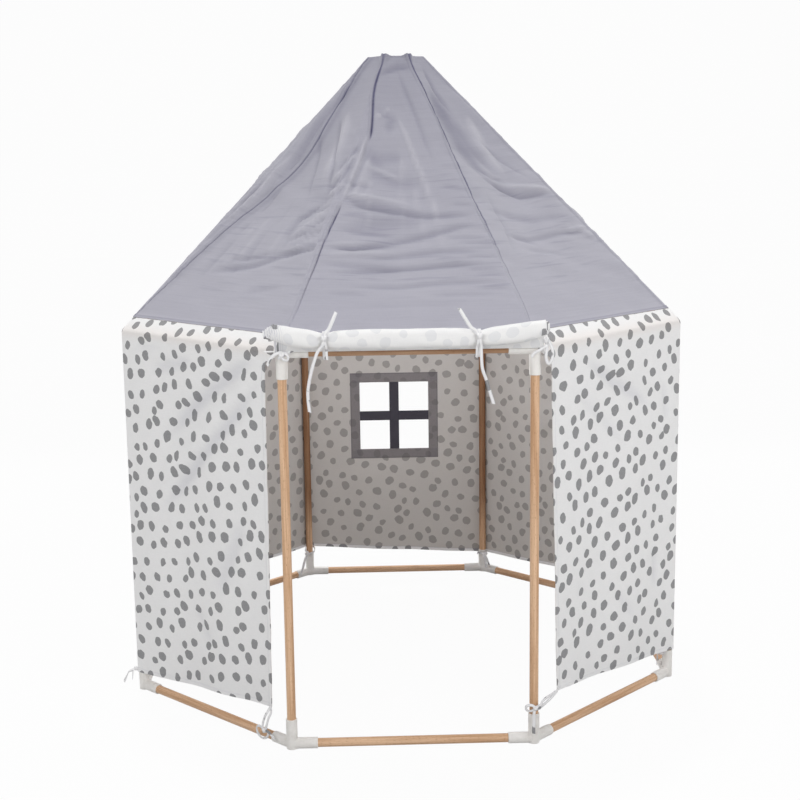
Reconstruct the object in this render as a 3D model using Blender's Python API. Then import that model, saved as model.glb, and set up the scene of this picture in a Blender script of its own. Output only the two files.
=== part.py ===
"""Play tent: an eight-sided frame of wooden rods in plastic connectors, dressed with a sewn fabric
cover. Seven sides have walls, the back wall has a window, and the door on the front side is rolled
up along the eave and held by two ties.

Metres, +Z up, the door towards -Y, the floor at Z = 0.
"""

import math

import bmesh
import bpy
from mathutils import Matrix, Vector

# Corners of the plan, clockwise from the left end of the door, and the side that follows each one
CORNERS = (
    "front_left", "left_front", "left_back", "back_left",
    "back_right", "right_back", "right_front", "front_right",
)
SIDES = ("front_left", "left", "back_left", "back", "back_right", "right", "front_right", "front")
FIRST_LEFT_SIDE, BACK_SIDE, FIRST_RIGHT_SIDE, FRONT_SIDE = 0, 3, 4, 7
SIDES_OF_A_WING = 3

# Frame
SIDE_LENGTH = 0.600
EAVE_HEIGHT = 0.990
HUB_HEIGHT = 1.682
HUB_RADIUS = 0.080
ROD_DIAMETER = 0.022
ROD_FACETS = 12
FIT_GAP = 0.0003

# Connectors
SOCKET_WALL = 0.0022
SOCKET_REACH = 0.064
SOCKET_FLOOR = 0.020
CORE_SWELL = 0.0005
FOOT_FLAT = 0.0009
HUB_SOCKET_LENGTH = 0.045
HUB_SOCKET_END_WALL = 0.004
HUB_TOP_RADIUS = 0.066
HUB_FLARE = 0.022
HUB_THICKNESS = 0.036
HUB_TOP_RISE = 0.0165
SMOOTH_BELOW_ANGLE = 40

# Fabric
CLOTH_THICKNESS = 0.0015
CLOTH_GAP = 0.0009
SEAM_ABOVE_EAVE = 0.045
COVER_TOP_RADIUS = 0.082
COVER_TOP_DOME = 0.004
COVER_CROWN_HEIGHT = 0.003
GORE_SAG = 0.012
GORE_FOLD_DEPTH = 0.004
GORE_FOLDS_UP = 1.5
GORE_FOLD_LEAN = 0.65
GORE_FOLD_SHIFT = 0.35
GORE_COLUMNS = 4
GORE_ROWS = 7
WALL_FOLD_DEPTH = 0.009
WALL_FOLDS_PER_SIDE = 2
WALL_FOLD_SHIFT = 0.175
WALL_FOLDS_FROM = 0.06
WALL_FOLDS_FULL = 0.36
WALL_COLUMNS = 8
WALL_ROW_PARTS = (0.04, 0.2, 0.4, 0.6, 0.8, 1)

# Height of the walls' hem at each corner, and how far the free edges hang from the door's corners
HEM_HEIGHTS = {
    "front_left": 0.100, "left_front": 0.050, "left_back": 0.080, "back_left": 0.097,
    "back_right": 0.064, "right_back": 0.080, "right_front": 0.080, "front_right": 0.120,
}
FREE_EDGE_SETBACK_TOP = 0.048
FREE_EDGE_SETBACK_LEFT_HEM = 0.062
FREE_EDGE_SETBACK_RIGHT_HEM = 0.079

# Window in the back wall
WINDOW_WIDTH = 0.298
WINDOW_HEIGHT = 0.296
WINDOW_CENTRE_HEIGHT = 0.552
STRIP_WIDTH = 0.032
STRIP_THICKNESS = 0.0008
BAR_THICKNESS = 0.0015
BAR_CROSSING_STEP = 0.000075
WINDOW_CORNER_RADIUS = 0.010
WINDOW_CORNER_FACETS = 4
FLAT_BESIDE_WINDOW = 0.050

# Door, rolled up
ROLL_LEFT_OVERHANG = 0.040
ROLL_RIGHT_OVERHANG = 0.030
ROLL_HALF_DEPTH = 0.019
ROLL_HALF_HEIGHT = 0.0275
ROLL_PINCH = 0.72
ROLL_PINCH_HALF_LENGTH = 0.0225
ROLL_END_GATHER = 0.82
ROLL_LOOSENESS = 0.06
ROLL_BUMPS_AROUND = 3
ROLL_BUMP_SPACING = 0.157
ROLL_RISE = 0.0306
ROLL_GAP = 0.0005
ROLL_SECTIONS = 30
ROLL_FACETS = 14
ROLL_LEFT_LIFT = 0.0215
ROLL_RIGHT_LIFT = 0.020
ROLL_LIFT_POWER = 1.5
HEADER_LIP = 0.001
DOOR_SHEET_DROP = 0.003

# Door ties
TIE_WIDTH = 0.008
TIE_THICKNESS = 0.0008
TIE_LEFT_INSET = 0.102
TIE_RIGHT_INSET = 0.136
TIE_UP_TAIL = 0.062
TIE_DOWN_TAIL = 0.140
TIE_UP_LEAN = 0.026
TIE_UP_SLOPE = 0.5
TIE_TAIL_SHARE = 0.9
TIE_BELOW_RAIL = 0.0031
STRAP_STEPS = 10
STRAP_FROM, STRAP_TO = 100, -50
TAIL_ANGLES = (70, 40, 10, -20, -45, -60)
TAIL_SWAY = ((0.15, 0.07), (0.45, 0.16), (0.75, 0.17), (1.0, 0.13))
KNOT_HALF_WIDTH = 0.007
KNOT_HALF_HEIGHT = 0.006
CUT_BEYOND = 0.012

# Worked out from the driving sizes
COUNT = len(CORNERS)
STEP = 2 * math.pi / COUNT
HALF_STEP = STEP / 2
CORNER_RADIUS = SIDE_LENGTH / (2 * math.sin(HALF_STEP))
SIDE_RADIUS = SIDE_LENGTH / (2 * math.tan(HALF_STEP))
ROD_RADIUS = ROD_DIAMETER / 2
BORE_RADIUS = ROD_RADIUS + FIT_GAP
SOCKET_RADIUS = BORE_RADIUS + SOCKET_WALL
CORE_RADIUS = SOCKET_RADIUS + CORE_SWELL
BASE_HEIGHT = SOCKET_RADIUS - FOOT_FLAT
ROOF_PITCH = math.atan2(HUB_HEIGHT - EAVE_HEIGHT, CORNER_RADIUS - HUB_RADIUS)
GORE_PITCH = math.atan(math.tan(ROOF_PITCH) / math.cos(HALF_STEP))
CLOTH_CLEARANCE = CORE_RADIUS + CLOTH_GAP
WALL_DISTANCE = SIDE_RADIUS + CLOTH_CLEARANCE
WALL_OUTSIDE = WALL_DISTANCE + CLOTH_THICKNESS
FOLD_RISE = CLOTH_CLEARANCE * (1 / math.cos(ROOF_PITCH) - math.tan(GORE_PITCH))
FOLD_HEIGHT = EAVE_HEIGHT + FOLD_RISE
SEAM_HEIGHT = FOLD_HEIGHT + SEAM_ABOVE_EAVE * math.sin(GORE_PITCH)
EAVE_TURN = (math.pi / 2 - GORE_PITCH) / 2
SLOPE_CLEARANCE = CLOTH_CLEARANCE * math.sin(GORE_PITCH) + FOLD_RISE * math.cos(GORE_PITCH)
WALL_TOP = EAVE_HEIGHT + (SLOPE_CLEARANCE - CLOTH_CLEARANCE * math.cos(EAVE_TURN)) / math.sin(EAVE_TURN)
ROLL_LEFT_END = -SIDE_LENGTH / 2 - ROLL_LEFT_OVERHANG
ROLL_RIGHT_END = SIDE_LENGTH / 2 + ROLL_RIGHT_OVERHANG
TIE_LEFT_PLACE = -SIDE_LENGTH / 2 + TIE_LEFT_INSET
TIE_RIGHT_PLACE = SIDE_LENGTH / 2 - TIE_RIGHT_INSET
ROLL_DISTANCE = WALL_OUTSIDE + ROLL_GAP + ROLL_HALF_DEPTH
ROLL_HEIGHT = EAVE_HEIGHT + ROLL_RISE
ROLL_EDGE_SHARE = 1 / math.cos(math.pi / ROLL_FACETS)
FRONT_REACH = ROLL_DISTANCE + ROLL_HALF_DEPTH
BACK_REACH = WALL_OUTSIDE + FIT_GAP + STRIP_THICKNESS
CENTRE = Vector((0, (FRONT_REACH - BACK_REACH) / 2, 0))
EDGE_SHARE = FIT_GAP / 2 / SIDE_LENGTH
UP = Vector((0, 0, 1))

WOOD = ((0.61, 0.37, 0.22), 0.55)
PLASTIC = ((0.76, 0.73, 0.69), 0.40)
GREY_CLOTH = ((0.38, 0.38, 0.44), 0.85)
DOTTED_CLOTH = ((0.82, 0.81, 0.80), 0.85)
TRIM_CLOTH = ((0.10, 0.09, 0.10), 0.80)


def clear_scene():
    for thing in list(bpy.data.objects):
        bpy.data.objects.remove(thing, do_unlink=True)


def corner_direction(corner):
    """The outward direction of a corner in plan."""
    angle = -math.pi / 2 - HALF_STEP - STEP * corner
    return Vector((math.cos(angle), math.sin(angle), 0))


def side_direction(side):
    """The outward direction of a side in plan."""
    angle = -math.pi / 2 - STEP * (side + 1)
    return Vector((math.cos(angle), math.sin(angle), 0))


def node_at(corner, height):
    """Where the rods' axes meet at a corner."""
    return CENTRE + CORNER_RADIUS * corner_direction(corner) + height * UP


def hub_end(corner):
    """Where a roof pole ends inside the hub."""
    return CENTRE + HUB_RADIUS * corner_direction(corner) + HUB_HEIGHT * UP


def on_side(side, share, distance, height):
    """A point on a side's plane, distance from the tent's axis, share of the way to the next corner."""
    radius = distance / math.cos(HALF_STEP)
    start = radius * corner_direction(side)
    end = radius * corner_direction(side + 1)
    return CENTRE + start.lerp(end, share) + height * UP


def in_front(across, distance, height):
    """A point before the door: across to the right, distance forward of the tent's axis."""
    return CENTRE + Vector((across, -distance, height))


def turned_to(direction, hint):
    """A rotation whose Z runs along direction and whose X leans to hint."""
    z = direction.normalized()
    y = z.cross(hint).normalized()
    return Matrix((y.cross(z), y, z)).transposed().to_4x4()


def finished(name, mesh, finish, matrix=None, smooth=False):
    """The object of one sub-part, with its own material."""
    thing = bpy.data.objects.new(name, mesh)
    bpy.context.scene.collection.objects.link(thing)
    if matrix:
        thing.matrix_world = matrix
    colour, roughness = finish
    material = bpy.data.materials.new(name)
    material.use_nodes = True
    shader = material.node_tree.nodes["Principled BSDF"]
    shader.inputs["Base Color"].default_value = (*colour, 1)
    shader.inputs["Roughness"].default_value = roughness
    shader.inputs["Metallic"].default_value = 0
    if not mesh.materials:
        mesh.materials.append(None)
    thing.material_slots[0].link = "OBJECT"
    thing.material_slots[0].material = material
    if smooth:
        mesh.shade_smooth()
        mesh.set_sharp_from_angle(angle=math.radians(SMOOTH_BELOW_ANGLE))
    return thing


def mesh_of(name, bm):
    mesh = bpy.data.meshes.new(name)
    bm.to_mesh(mesh)
    bm.free()
    return mesh


def rod_solid(radius, start, end, turn):
    """A faceted rod between two distances along the turn's Z, with flats square to its X and Y."""
    bm = bmesh.new()
    bmesh.ops.create_cone(
        bm,
        cap_ends=True,
        segments=ROD_FACETS,
        radius1=radius,
        radius2=radius,
        depth=end - start,
        matrix=turn
        @ Matrix.Translation((0, 0, (start + end) / 2))
        @ Matrix.Rotation(math.pi / ROD_FACETS, 4, "Z"),
    )
    return mesh_of("rod_solid", bm)


def box_solid(low, high):
    bm = bmesh.new()
    size = Vector(high) - Vector(low)
    middle = (Vector(high) + Vector(low)) / 2
    bmesh.ops.create_cube(bm, size=1, matrix=Matrix.Translation(middle) @ Matrix.Diagonal((*size, 1)))
    return mesh_of("box_solid", bm)


def joined(base, added=(), removed=()):
    """The base mesh with some meshes joined to it and others cut from it."""
    helpers = []
    body = bpy.data.objects.new("joined", base)
    bpy.context.scene.collection.objects.link(body)
    for operation, meshes in (("UNION", added), ("DIFFERENCE", removed)):
        for mesh in meshes:
            helper = bpy.data.objects.new("helper", mesh)
            bpy.context.scene.collection.objects.link(helper)
            helpers.append(helper)
            step = body.modifiers.new(operation, "BOOLEAN")
            step.operation = operation
            step.solver = "EXACT"
            step.object = helper
    seen = body.evaluated_get(bpy.context.evaluated_depsgraph_get())
    result = bpy.data.meshes.new_from_object(seen)
    for thing in (body, *helpers):
        bpy.data.objects.remove(thing, do_unlink=True)
    return result


def socket(turn):
    return rod_solid(SOCKET_RADIUS, 0, SOCKET_REACH, turn)


def bore(turn):
    """A blind bore that runs out through the socket's mouth."""
    return rod_solid(BORE_RADIUS, SOCKET_FLOOR, SOCKET_REACH + CUT_BEYOND, turn)


def rail_turns():
    """The turns of the two level sockets, seen from a corner whose outward direction is +X."""
    return [
        turned_to(Vector((-math.sin(HALF_STEP), across * math.cos(HALF_STEP), 0)), UP)
        for across in (-1, 1)
    ]


def base_corner_mesh():
    """An upright socket that stands on the floor, with a level socket for each rail."""
    upright = turned_to(UP, Vector((1, 0, 0)))
    rails = rail_turns()
    reach = SOCKET_REACH + SOCKET_RADIUS + CUT_BEYOND
    return joined(
        rod_solid(CORE_RADIUS, -CORE_RADIUS, SOCKET_REACH, upright),
        added=[socket(turn) for turn in rails],
        removed=[
            *(bore(turn) for turn in (upright, *rails)),
            box_solid((-reach, -reach, -reach), (reach, reach, -BASE_HEIGHT)),
        ],
    )


def eave_corner_mesh():
    """A ball with a socket down to the post, one to each rail and one up to the roof pole."""
    downward = turned_to(-UP, Vector((1, 0, 0)))
    roof = turned_to(Vector((-math.cos(ROOF_PITCH), 0, math.sin(ROOF_PITCH))), UP)
    turns = (downward, roof, *rail_turns())
    bm = bmesh.new()
    bmesh.ops.create_icosphere(bm, subdivisions=3, radius=CORE_RADIUS)
    return joined(
        mesh_of("core", bm),
        added=[socket(turn) for turn in turns],
        removed=[bore(turn) for turn in turns],
    )


def hub_turn(corner):
    """The turn of a roof pole's upper end, whose Z runs down along the pole."""
    outward = corner_direction(corner)
    down = math.cos(ROOF_PITCH) * outward - math.sin(ROOF_PITCH) * UP
    return Matrix.Translation(HUB_RADIUS * outward) @ turned_to(down, UP)


def hub_mesh():
    """A flared disc with a slanted socket for each roof pole, about the poles' ends' height."""
    bm = bmesh.new()
    bmesh.ops.create_cone(
        bm,
        cap_ends=True,
        segments=2 * COUNT,
        radius1=HUB_TOP_RADIUS + HUB_FLARE,
        radius2=HUB_TOP_RADIUS,
        depth=HUB_THICKNESS,
        matrix=Matrix.Translation((0, 0, HUB_TOP_RISE - HUB_THICKNESS / 2)),
    )
    turns = [hub_turn(corner) for corner in range(COUNT)]
    return joined(
        mesh_of("disc", bm),
        added=[rod_solid(SOCKET_RADIUS, -HUB_SOCKET_END_WALL, HUB_SOCKET_LENGTH, turn) for turn in turns],
        removed=[rod_solid(BORE_RADIUS, -FIT_GAP, HUB_SOCKET_LENGTH + CUT_BEYOND, turn) for turn in turns],
    )


def rods(prefix, names, ends, hint_of):
    """One rod for each name, about its middle. ends gives both ends: a point, and how far short of it."""
    for place, name in enumerate(names):
        (start, short_of_start), (end, short_of_end) = ends(place)
        along = (end - start).normalized()
        start = start + short_of_start * along
        end = end - short_of_end * along
        half = (end - start).length / 2
        mesh = rod_solid(ROD_RADIUS, -half, half, Matrix.Identity(4))
        matrix = Matrix.Translation((start + end) / 2) @ turned_to(along, hint_of(place))
        finished(f"{prefix}_{name}", mesh, WOOD, matrix, smooth=True)


def build_frame():
    base_mesh = base_corner_mesh()
    eave_mesh = eave_corner_mesh()
    for corner, name in enumerate(CORNERS):
        turn = Matrix((corner_direction(corner), UP.cross(corner_direction(corner)), UP)).transposed()
        for prefix, mesh, height in (
            ("base_corner", base_mesh, BASE_HEIGHT),
            ("eave_corner", eave_mesh, EAVE_HEIGHT),
        ):
            matrix = Matrix.Translation(node_at(corner, height)) @ turn.to_4x4()
            finished(f"{prefix}_{name}", mesh, PLASTIC, matrix, smooth=True)
    seat = SOCKET_FLOOR + FIT_GAP

    def rail_ends(height):
        return lambda side: ((node_at(side, height), seat), (node_at(side + 1, height), seat))

    rods("base_rail", SIDES, rail_ends(BASE_HEIGHT), lambda side: UP)
    rods("eave_rail", SIDES, rail_ends(EAVE_HEIGHT), lambda side: UP)
    rods(
        "post",
        CORNERS,
        lambda corner: ((node_at(corner, BASE_HEIGHT), seat), (node_at(corner, EAVE_HEIGHT), seat)),
        corner_direction,
    )
    rods(
        "roof_pole",
        CORNERS,
        lambda corner: ((node_at(corner, EAVE_HEIGHT), seat), (hub_end(corner), 0)),
        lambda corner: UP,
    )
    finished("roof_hub", hub_mesh(), PLASTIC, Matrix.Translation(CENTRE + HUB_HEIGHT * UP), smooth=True)


def offset_profile(points, thickness):
    """The profile's outer side: each (distance, height) moved out square to the profile, with mitred bends.

    The profile runs upwards, with the outside to its right when it is drawn with distance to the right.
    """
    moved = []
    for place, (distance, height) in enumerate(points):
        normals = []
        for first, second in ((place - 1, place), (place, place + 1)):
            if first >= 0 and second < len(points):
                run = Vector(points[second]) - Vector(points[first])
                normals.append(Vector((run.y, -run.x)).normalized())
        middle = sum(normals, Vector((0, 0))).normalized()
        length = thickness / middle.dot(normals[0])
        moved.append((distance + middle.x * length, height + middle.y * length))
    return moved


def cloth_solid(name, inner, outer, kept=None, closed=False, tops=None):
    """A closed sheet between two grids of points, rows of columns, over the kept cells.

    closed joins the last column to the first, and tops holds the inner and outer point that close the
    last row.
    """
    rows, columns = len(inner), len(inner[0])
    across = columns if closed else columns - 1
    cells = {(row, column) for row in range(rows - 1) for column in range(across)}
    if kept:
        cells = {cell for cell in cells if kept(*cell)}
    bm = bmesh.new()
    sides = [
        [[bm.verts.new(point) for point in line] for line in grid]
        for grid in (inner, outer)
    ]

    def rim(row, column, next_row, next_column):
        low, high = sides
        bm.faces.new((
            low[row][column], low[next_row][next_column],
            high[next_row][next_column], high[row][column],
        ))

    for row, column in cells:
        after = (column + 1) % columns
        around = ((row, column), (row, after), (row + 1, after), (row + 1, column))
        bm.faces.new([sides[1][r][c] for r, c in around])
        bm.faces.new([sides[0][r][c] for r, c in reversed(around)])
        before = (column - 1) % columns if closed else column - 1
        beyond = after if closed else column + 1
        neighbours = ((row - 1, column), (row, beyond), (row + 1, column), (row, before))
        for place, neighbour in enumerate(neighbours):
            if neighbour not in cells and not (tops and neighbour[0] == rows - 1):
                rim(*around[place], *around[(place + 1) % 4])
    if tops:
        low_top, high_top = (bm.verts.new(point) for point in tops)
        for column in range(columns):
            after = (column + 1) % columns
            bm.faces.new((sides[1][-1][column], sides[1][-1][after], high_top))
            bm.faces.new((sides[0][-1][after], sides[0][-1][column], low_top))
    bmesh.ops.delete(bm, geom=[v for v in bm.verts if not v.link_faces], context="VERTS")
    bmesh.ops.recalc_face_normals(bm, faces=bm.faces)
    bmesh.ops.triangulate(bm, faces=bm.faces)
    return mesh_of(name, bm)


def slope_distance(height):
    """How far the inside of the cloth lies from the tent's axis on the roof, halfway between two poles."""
    return WALL_DISTANCE - (height - FOLD_HEIGHT) / math.tan(GORE_PITCH)


def build_cover():
    """The grey cover: gores that sag between the roof poles, and a low crown over the hub."""
    join = FIT_GAP * math.sin(GORE_PITCH)
    top_distance = COVER_TOP_RADIUS * math.cos(HALF_STEP)
    top_height = FOLD_HEIGHT + (WALL_DISTANCE - top_distance) * math.tan(GORE_PITCH)
    heights = [
        SEAM_HEIGHT + join + (top_height - SEAM_HEIGHT - join) * row / GORE_ROWS
        for row in range(GORE_ROWS + 1)
    ]
    inner_line = [(slope_distance(height), height) for height in heights]
    crown = (top_distance / 2, top_height + COVER_CROWN_HEIGHT)
    inner_line.append(crown)
    outer_line = offset_profile([*inner_line, (0, top_height + COVER_TOP_DOME)], CLOTH_THICKNESS)[:-1]

    def sag(side, share, row):
        """How far a gore hangs below the plane of its two poles."""
        up = min(row / GORE_ROWS, 1)
        free = math.sin(math.pi * share) ** 2 * math.sin(math.pi * up)
        turns = GORE_FOLDS_UP * up + GORE_FOLD_LEAN * share + GORE_FOLD_SHIFT * side
        return free * (GORE_SAG + GORE_FOLD_DEPTH * math.sin(2 * math.pi * turns))

    grids = []
    for line in (inner_line, outer_line):
        grid = []
        for row, (distance, height) in enumerate(line):
            points = []
            for side in range(COUNT):
                inward = math.cos(GORE_PITCH) * UP + math.sin(GORE_PITCH) * side_direction(side)
                for column in range(GORE_COLUMNS):
                    share = column / GORE_COLUMNS
                    point = on_side(side, share, distance, height)
                    points.append(point - sag(side, share, row) * inward)
            grid.append(points)
        grids.append(grid)
    tops = [CENTRE + (top_height + COVER_TOP_DOME + rise) * UP for rise in (0, CLOTH_THICKNESS)]
    mesh = cloth_solid("roof_cover", *grids, closed=True, tops=tops)
    finished("roof_cover", mesh, GREY_CLOTH)


def eave_profile():
    """The dotted cloth's inside, from the wall over the eave rail, which it clears, up to the seam."""
    bend_height = EAVE_HEIGHT + SLOPE_CLEARANCE * math.sin(1.5 * EAVE_TURN) / math.cos(EAVE_TURN / 2)
    return [
        (WALL_DISTANCE, WALL_TOP),
        (slope_distance(bend_height), bend_height),
        (slope_distance(SEAM_HEIGHT), SEAM_HEIGHT),
    ]


def hem_height(side, share):
    first = HEM_HEIGHTS[CORNERS[side % COUNT]]
    second = HEM_HEIGHTS[CORNERS[(side + 1) % COUNT]]
    return first + (second - first) * share


def wall_grids(columns, drops, fold):
    """The inner and outer points of a wall, rows from the hem up.

    columns lists (side, share over the eave, share just below it, share at the hem). drops lists
    (height, part), the height of a row being that part of the way from the height down to the hem. fold
    gives how far the cloth bows out at (side, share, part of the way down).
    """
    eave = eave_profile()
    eave_outer = offset_profile([(WALL_DISTANCE, 0), *eave], CLOTH_THICKNESS)[1:]
    grids = []
    for distance, profile in ((WALL_DISTANCE, eave), (WALL_OUTSIDE, eave_outer)):
        grid = []
        for height, part in reversed(drops):
            points = []
            for side, eave_share, top_share, hem_share in columns:
                share = top_share + (hem_share - top_share) * part if part else eave_share
                z = height + (hem_height(side, share) - height) * part
                fall = (WALL_TOP - z) / WALL_TOP
                bow = fold(side, share, fall) * side_direction(side)
                points.append(on_side(side, share, distance, z) + bow)
            grid.append(points)
        for row_distance, z in profile:
            grid.append([on_side(side, share, row_distance, z) for side, share, *_ in columns])
        grids.append(grid)
    return grids


def soft_fold(side, share, fall):
    """Shallow waves into the tent between the posts, which die out at the posts and at the eave rail."""
    wave = 0.5 + 0.5 * math.sin(2 * math.pi * (WALL_FOLDS_PER_SIDE * share + WALL_FOLD_SHIFT * side))
    down = (fall - WALL_FOLDS_FROM) / (WALL_FOLDS_FULL - WALL_FOLDS_FROM)
    return -WALL_FOLD_DEPTH * wave * math.sin(math.pi * share) * min(1, max(0, down))


def build_wing(name, first_side, free_end, free_hem):
    """Three walls in one piece. free_end says which end hangs free beside the door: 0 or 1."""
    columns = []
    last_side = SIDES_OF_A_WING - 1
    for place in range(SIDES_OF_A_WING):
        side = first_side + place
        last = place == last_side
        for column in range(WALL_COLUMNS + (1 if last else 0)):
            share = column / WALL_COLUMNS
            if place == 0 and column == 0:
                share = EDGE_SHARE
            if last and column == WALL_COLUMNS:
                share = 1 - EDGE_SHARE
            lower = [share, share]
            if place == (last_side if free_end else 0):
                spans = [setback / SIDE_LENGTH for setback in (FREE_EDGE_SETBACK_TOP, free_hem)]
                lower = [share * (1 - span) + (0 if free_end else span) for span in spans]
            columns.append((side, share, *lower))
    drops = [(WALL_TOP, part) for part in WALL_ROW_PARTS]
    mesh = cloth_solid(name, *wall_grids(columns, drops, soft_fold))
    finished(name, mesh, DOTTED_CLOTH)


def build_back_wall():
    """The back wall, with a hole a little larger than the window's clear opening."""
    hole_reach = STRIP_THICKNESS + FIT_GAP - STRIP_WIDTH
    trim_share, hole_share = [
        (WINDOW_WIDTH / 2 + reach) / (2 * WALL_DISTANCE * math.tan(HALF_STEP))
        for reach in (FIT_GAP, hole_reach)
    ]
    half_height = WINDOW_HEIGHT / 2
    hole_top = WINDOW_CENTRE_HEIGHT + half_height + hole_reach
    hole_bottom = WINDOW_CENTRE_HEIGHT - half_height - hole_reach
    trim_top = WINDOW_CENTRE_HEIGHT + half_height + FIT_GAP
    trim_bottom = WINDOW_CENTRE_HEIGHT - half_height - FIT_GAP
    beside = (0.5 - trim_share) / 2
    left_shares = [EDGE_SHARE, beside, 0.5 - trim_share, 0.5 - hole_share]
    shares = [*left_shares, 0.5, *(1 - share for share in reversed(left_shares))]
    columns = [(BACK_SIDE, share, share, share) for share in shares]
    drops = [((WALL_TOP + trim_top) / 2, 0)]
    drops += [(height, 0) for height in (trim_top, hole_top, hole_bottom, trim_bottom)]
    drops += [(trim_bottom, 0.5), (trim_bottom, 1)]
    hole_row = 3
    hole_columns = (3, 4)

    def fold(side, share, fall):
        """Waves beside and below the window, where the strip round it leaves the cloth free."""
        across = SIDE_LENGTH * (abs(share - 0.5) - trim_share)
        down = trim_bottom - WALL_TOP * (1 - fall)
        free = max(0, across, down)
        return soft_fold(side, share, fall) * min(1, free / FLAT_BESIDE_WINDOW)

    def kept(row, column):
        return not (row == hole_row and column in hole_columns)

    mesh = cloth_solid("wall_back", *wall_grids(columns, drops, fold), kept=kept)
    finished("wall_back", mesh, DOTTED_CLOTH)


def rounded_prism(half_width, half_height, radius, half_depth):
    """A block with rounded upright corners, deep along Y, about the window's centre."""
    bm = bmesh.new()
    outline = []
    for quarter in range(4):
        across = half_width - radius if quarter in (0, 3) else radius - half_width
        up = half_height - radius if quarter in (0, 1) else radius - half_height
        for step in range(WINDOW_CORNER_FACETS + 1):
            angle = math.pi / 2 * (quarter + step / WINDOW_CORNER_FACETS)
            outline.append((across + radius * math.cos(angle), up + radius * math.sin(angle)))
    rings = [[bm.verts.new((x, y, z)) for x, z in outline] for y in (-half_depth, half_depth)]
    count = len(outline)
    for place in range(count):
        after = (place + 1) % count
        bm.faces.new((rings[0][place], rings[0][after], rings[1][after], rings[1][place]))
    bm.faces.new(rings[0])
    bm.faces.new(reversed(rings[1]))
    bmesh.ops.recalc_face_normals(bm, faces=bm.faces)
    return mesh_of("rounded_prism", bm)


def block(half_width, half_depth, half_height):
    return box_solid((-half_width, -half_depth, -half_height), (half_width, half_depth, half_height))


def build_window():
    """A strip folded round the edge of the hole, and two bars that cross between its sides."""
    middle = WALL_DISTANCE + CLOTH_THICKNESS / 2
    place = Matrix.Translation(CENTRE + Vector((0, middle, WINDOW_CENTRE_HEIGHT)))
    half_width = WINDOW_WIDTH / 2
    half_height = WINDOW_HEIGHT / 2
    clear_width = half_width - STRIP_WIDTH
    clear_height = half_height - STRIP_WIDTH
    slot = CLOTH_THICKNESS / 2 + FIT_GAP
    beyond = STRIP_WIDTH + half_width
    slot_ring = joined(
        block(beyond, slot, beyond),
        removed=[block(clear_width + STRIP_THICKNESS, slot * 2, clear_height + STRIP_THICKNESS)],
    )
    trim = joined(
        block(half_width, slot + STRIP_THICKNESS, half_height),
        removed=[
            rounded_prism(clear_width, clear_height, WINDOW_CORNER_RADIUS, slot * 4),
            slot_ring,
        ],
    )
    finished("window_trim", trim, TRIM_CLOTH, place)
    half_bar = STRIP_WIDTH / 2
    half_thickness = BAR_THICKNESS / 2
    bars = joined(
        block(half_bar, half_thickness, clear_height - FIT_GAP),
        added=[block(clear_width - FIT_GAP, half_thickness - BAR_CROSSING_STEP, half_bar)],
    )
    finished("window_bars", bars, TRIM_CLOTH, place)


def build_header():
    """The dotted cloth over the front eave rail, from the roof's seam to where the door begins."""
    columns = [(FRONT_SIDE, share, share, share) for share in (EDGE_SHARE, 0.5, 1 - EDGE_SHARE)]
    drops = [(WALL_TOP - HEADER_LIP, 0)]
    mesh = cloth_solid("door_header", *wall_grids(columns, drops, lambda side, share, fall: 0))
    finished("door_header", mesh, DOTTED_CLOTH)


def door_top():
    return WALL_TOP - HEADER_LIP - FIT_GAP


def build_door_sheet():
    """The short stretch of the door between the header and the roll."""
    low = in_front(ROLL_LEFT_END, WALL_OUTSIDE, door_top() - DOOR_SHEET_DROP)
    high = in_front(ROLL_RIGHT_END, WALL_DISTANCE, door_top())
    finished("door_sheet", box_solid(low, high), DOTTED_CLOTH)


def pinch(across):
    """How much the ties draw the roll in at this place, from 0 to 1."""
    return max(
        math.exp(-((across - place) / ROLL_PINCH_HALF_LENGTH) ** 2)
        for place in (TIE_LEFT_PLACE, TIE_RIGHT_PLACE)
    )


def roll_lift(across):
    """How far the roll's ends ride up beyond the ties."""
    left = max(0, (TIE_LEFT_PLACE - across) / (TIE_LEFT_PLACE - ROLL_LEFT_END))
    right = max(0, (across - TIE_RIGHT_PLACE) / (ROLL_RIGHT_END - TIE_RIGHT_PLACE))
    return ROLL_LEFT_LIFT * left**ROLL_LIFT_POWER + ROLL_RIGHT_LIFT * right**ROLL_LIFT_POWER


def drawn_share(across):
    """The roll's thickness here as a share of its full one: drawn in at the ties, narrower at its ends."""
    end = min(across - ROLL_LEFT_END, ROLL_RIGHT_END - across)
    gathered = ROLL_END_GATHER + (1 - ROLL_END_GATHER) * min(1, end / (2 * ROLL_HALF_HEIGHT))
    return gathered * (1 - (1 - ROLL_PINCH) * pinch(across))


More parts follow.
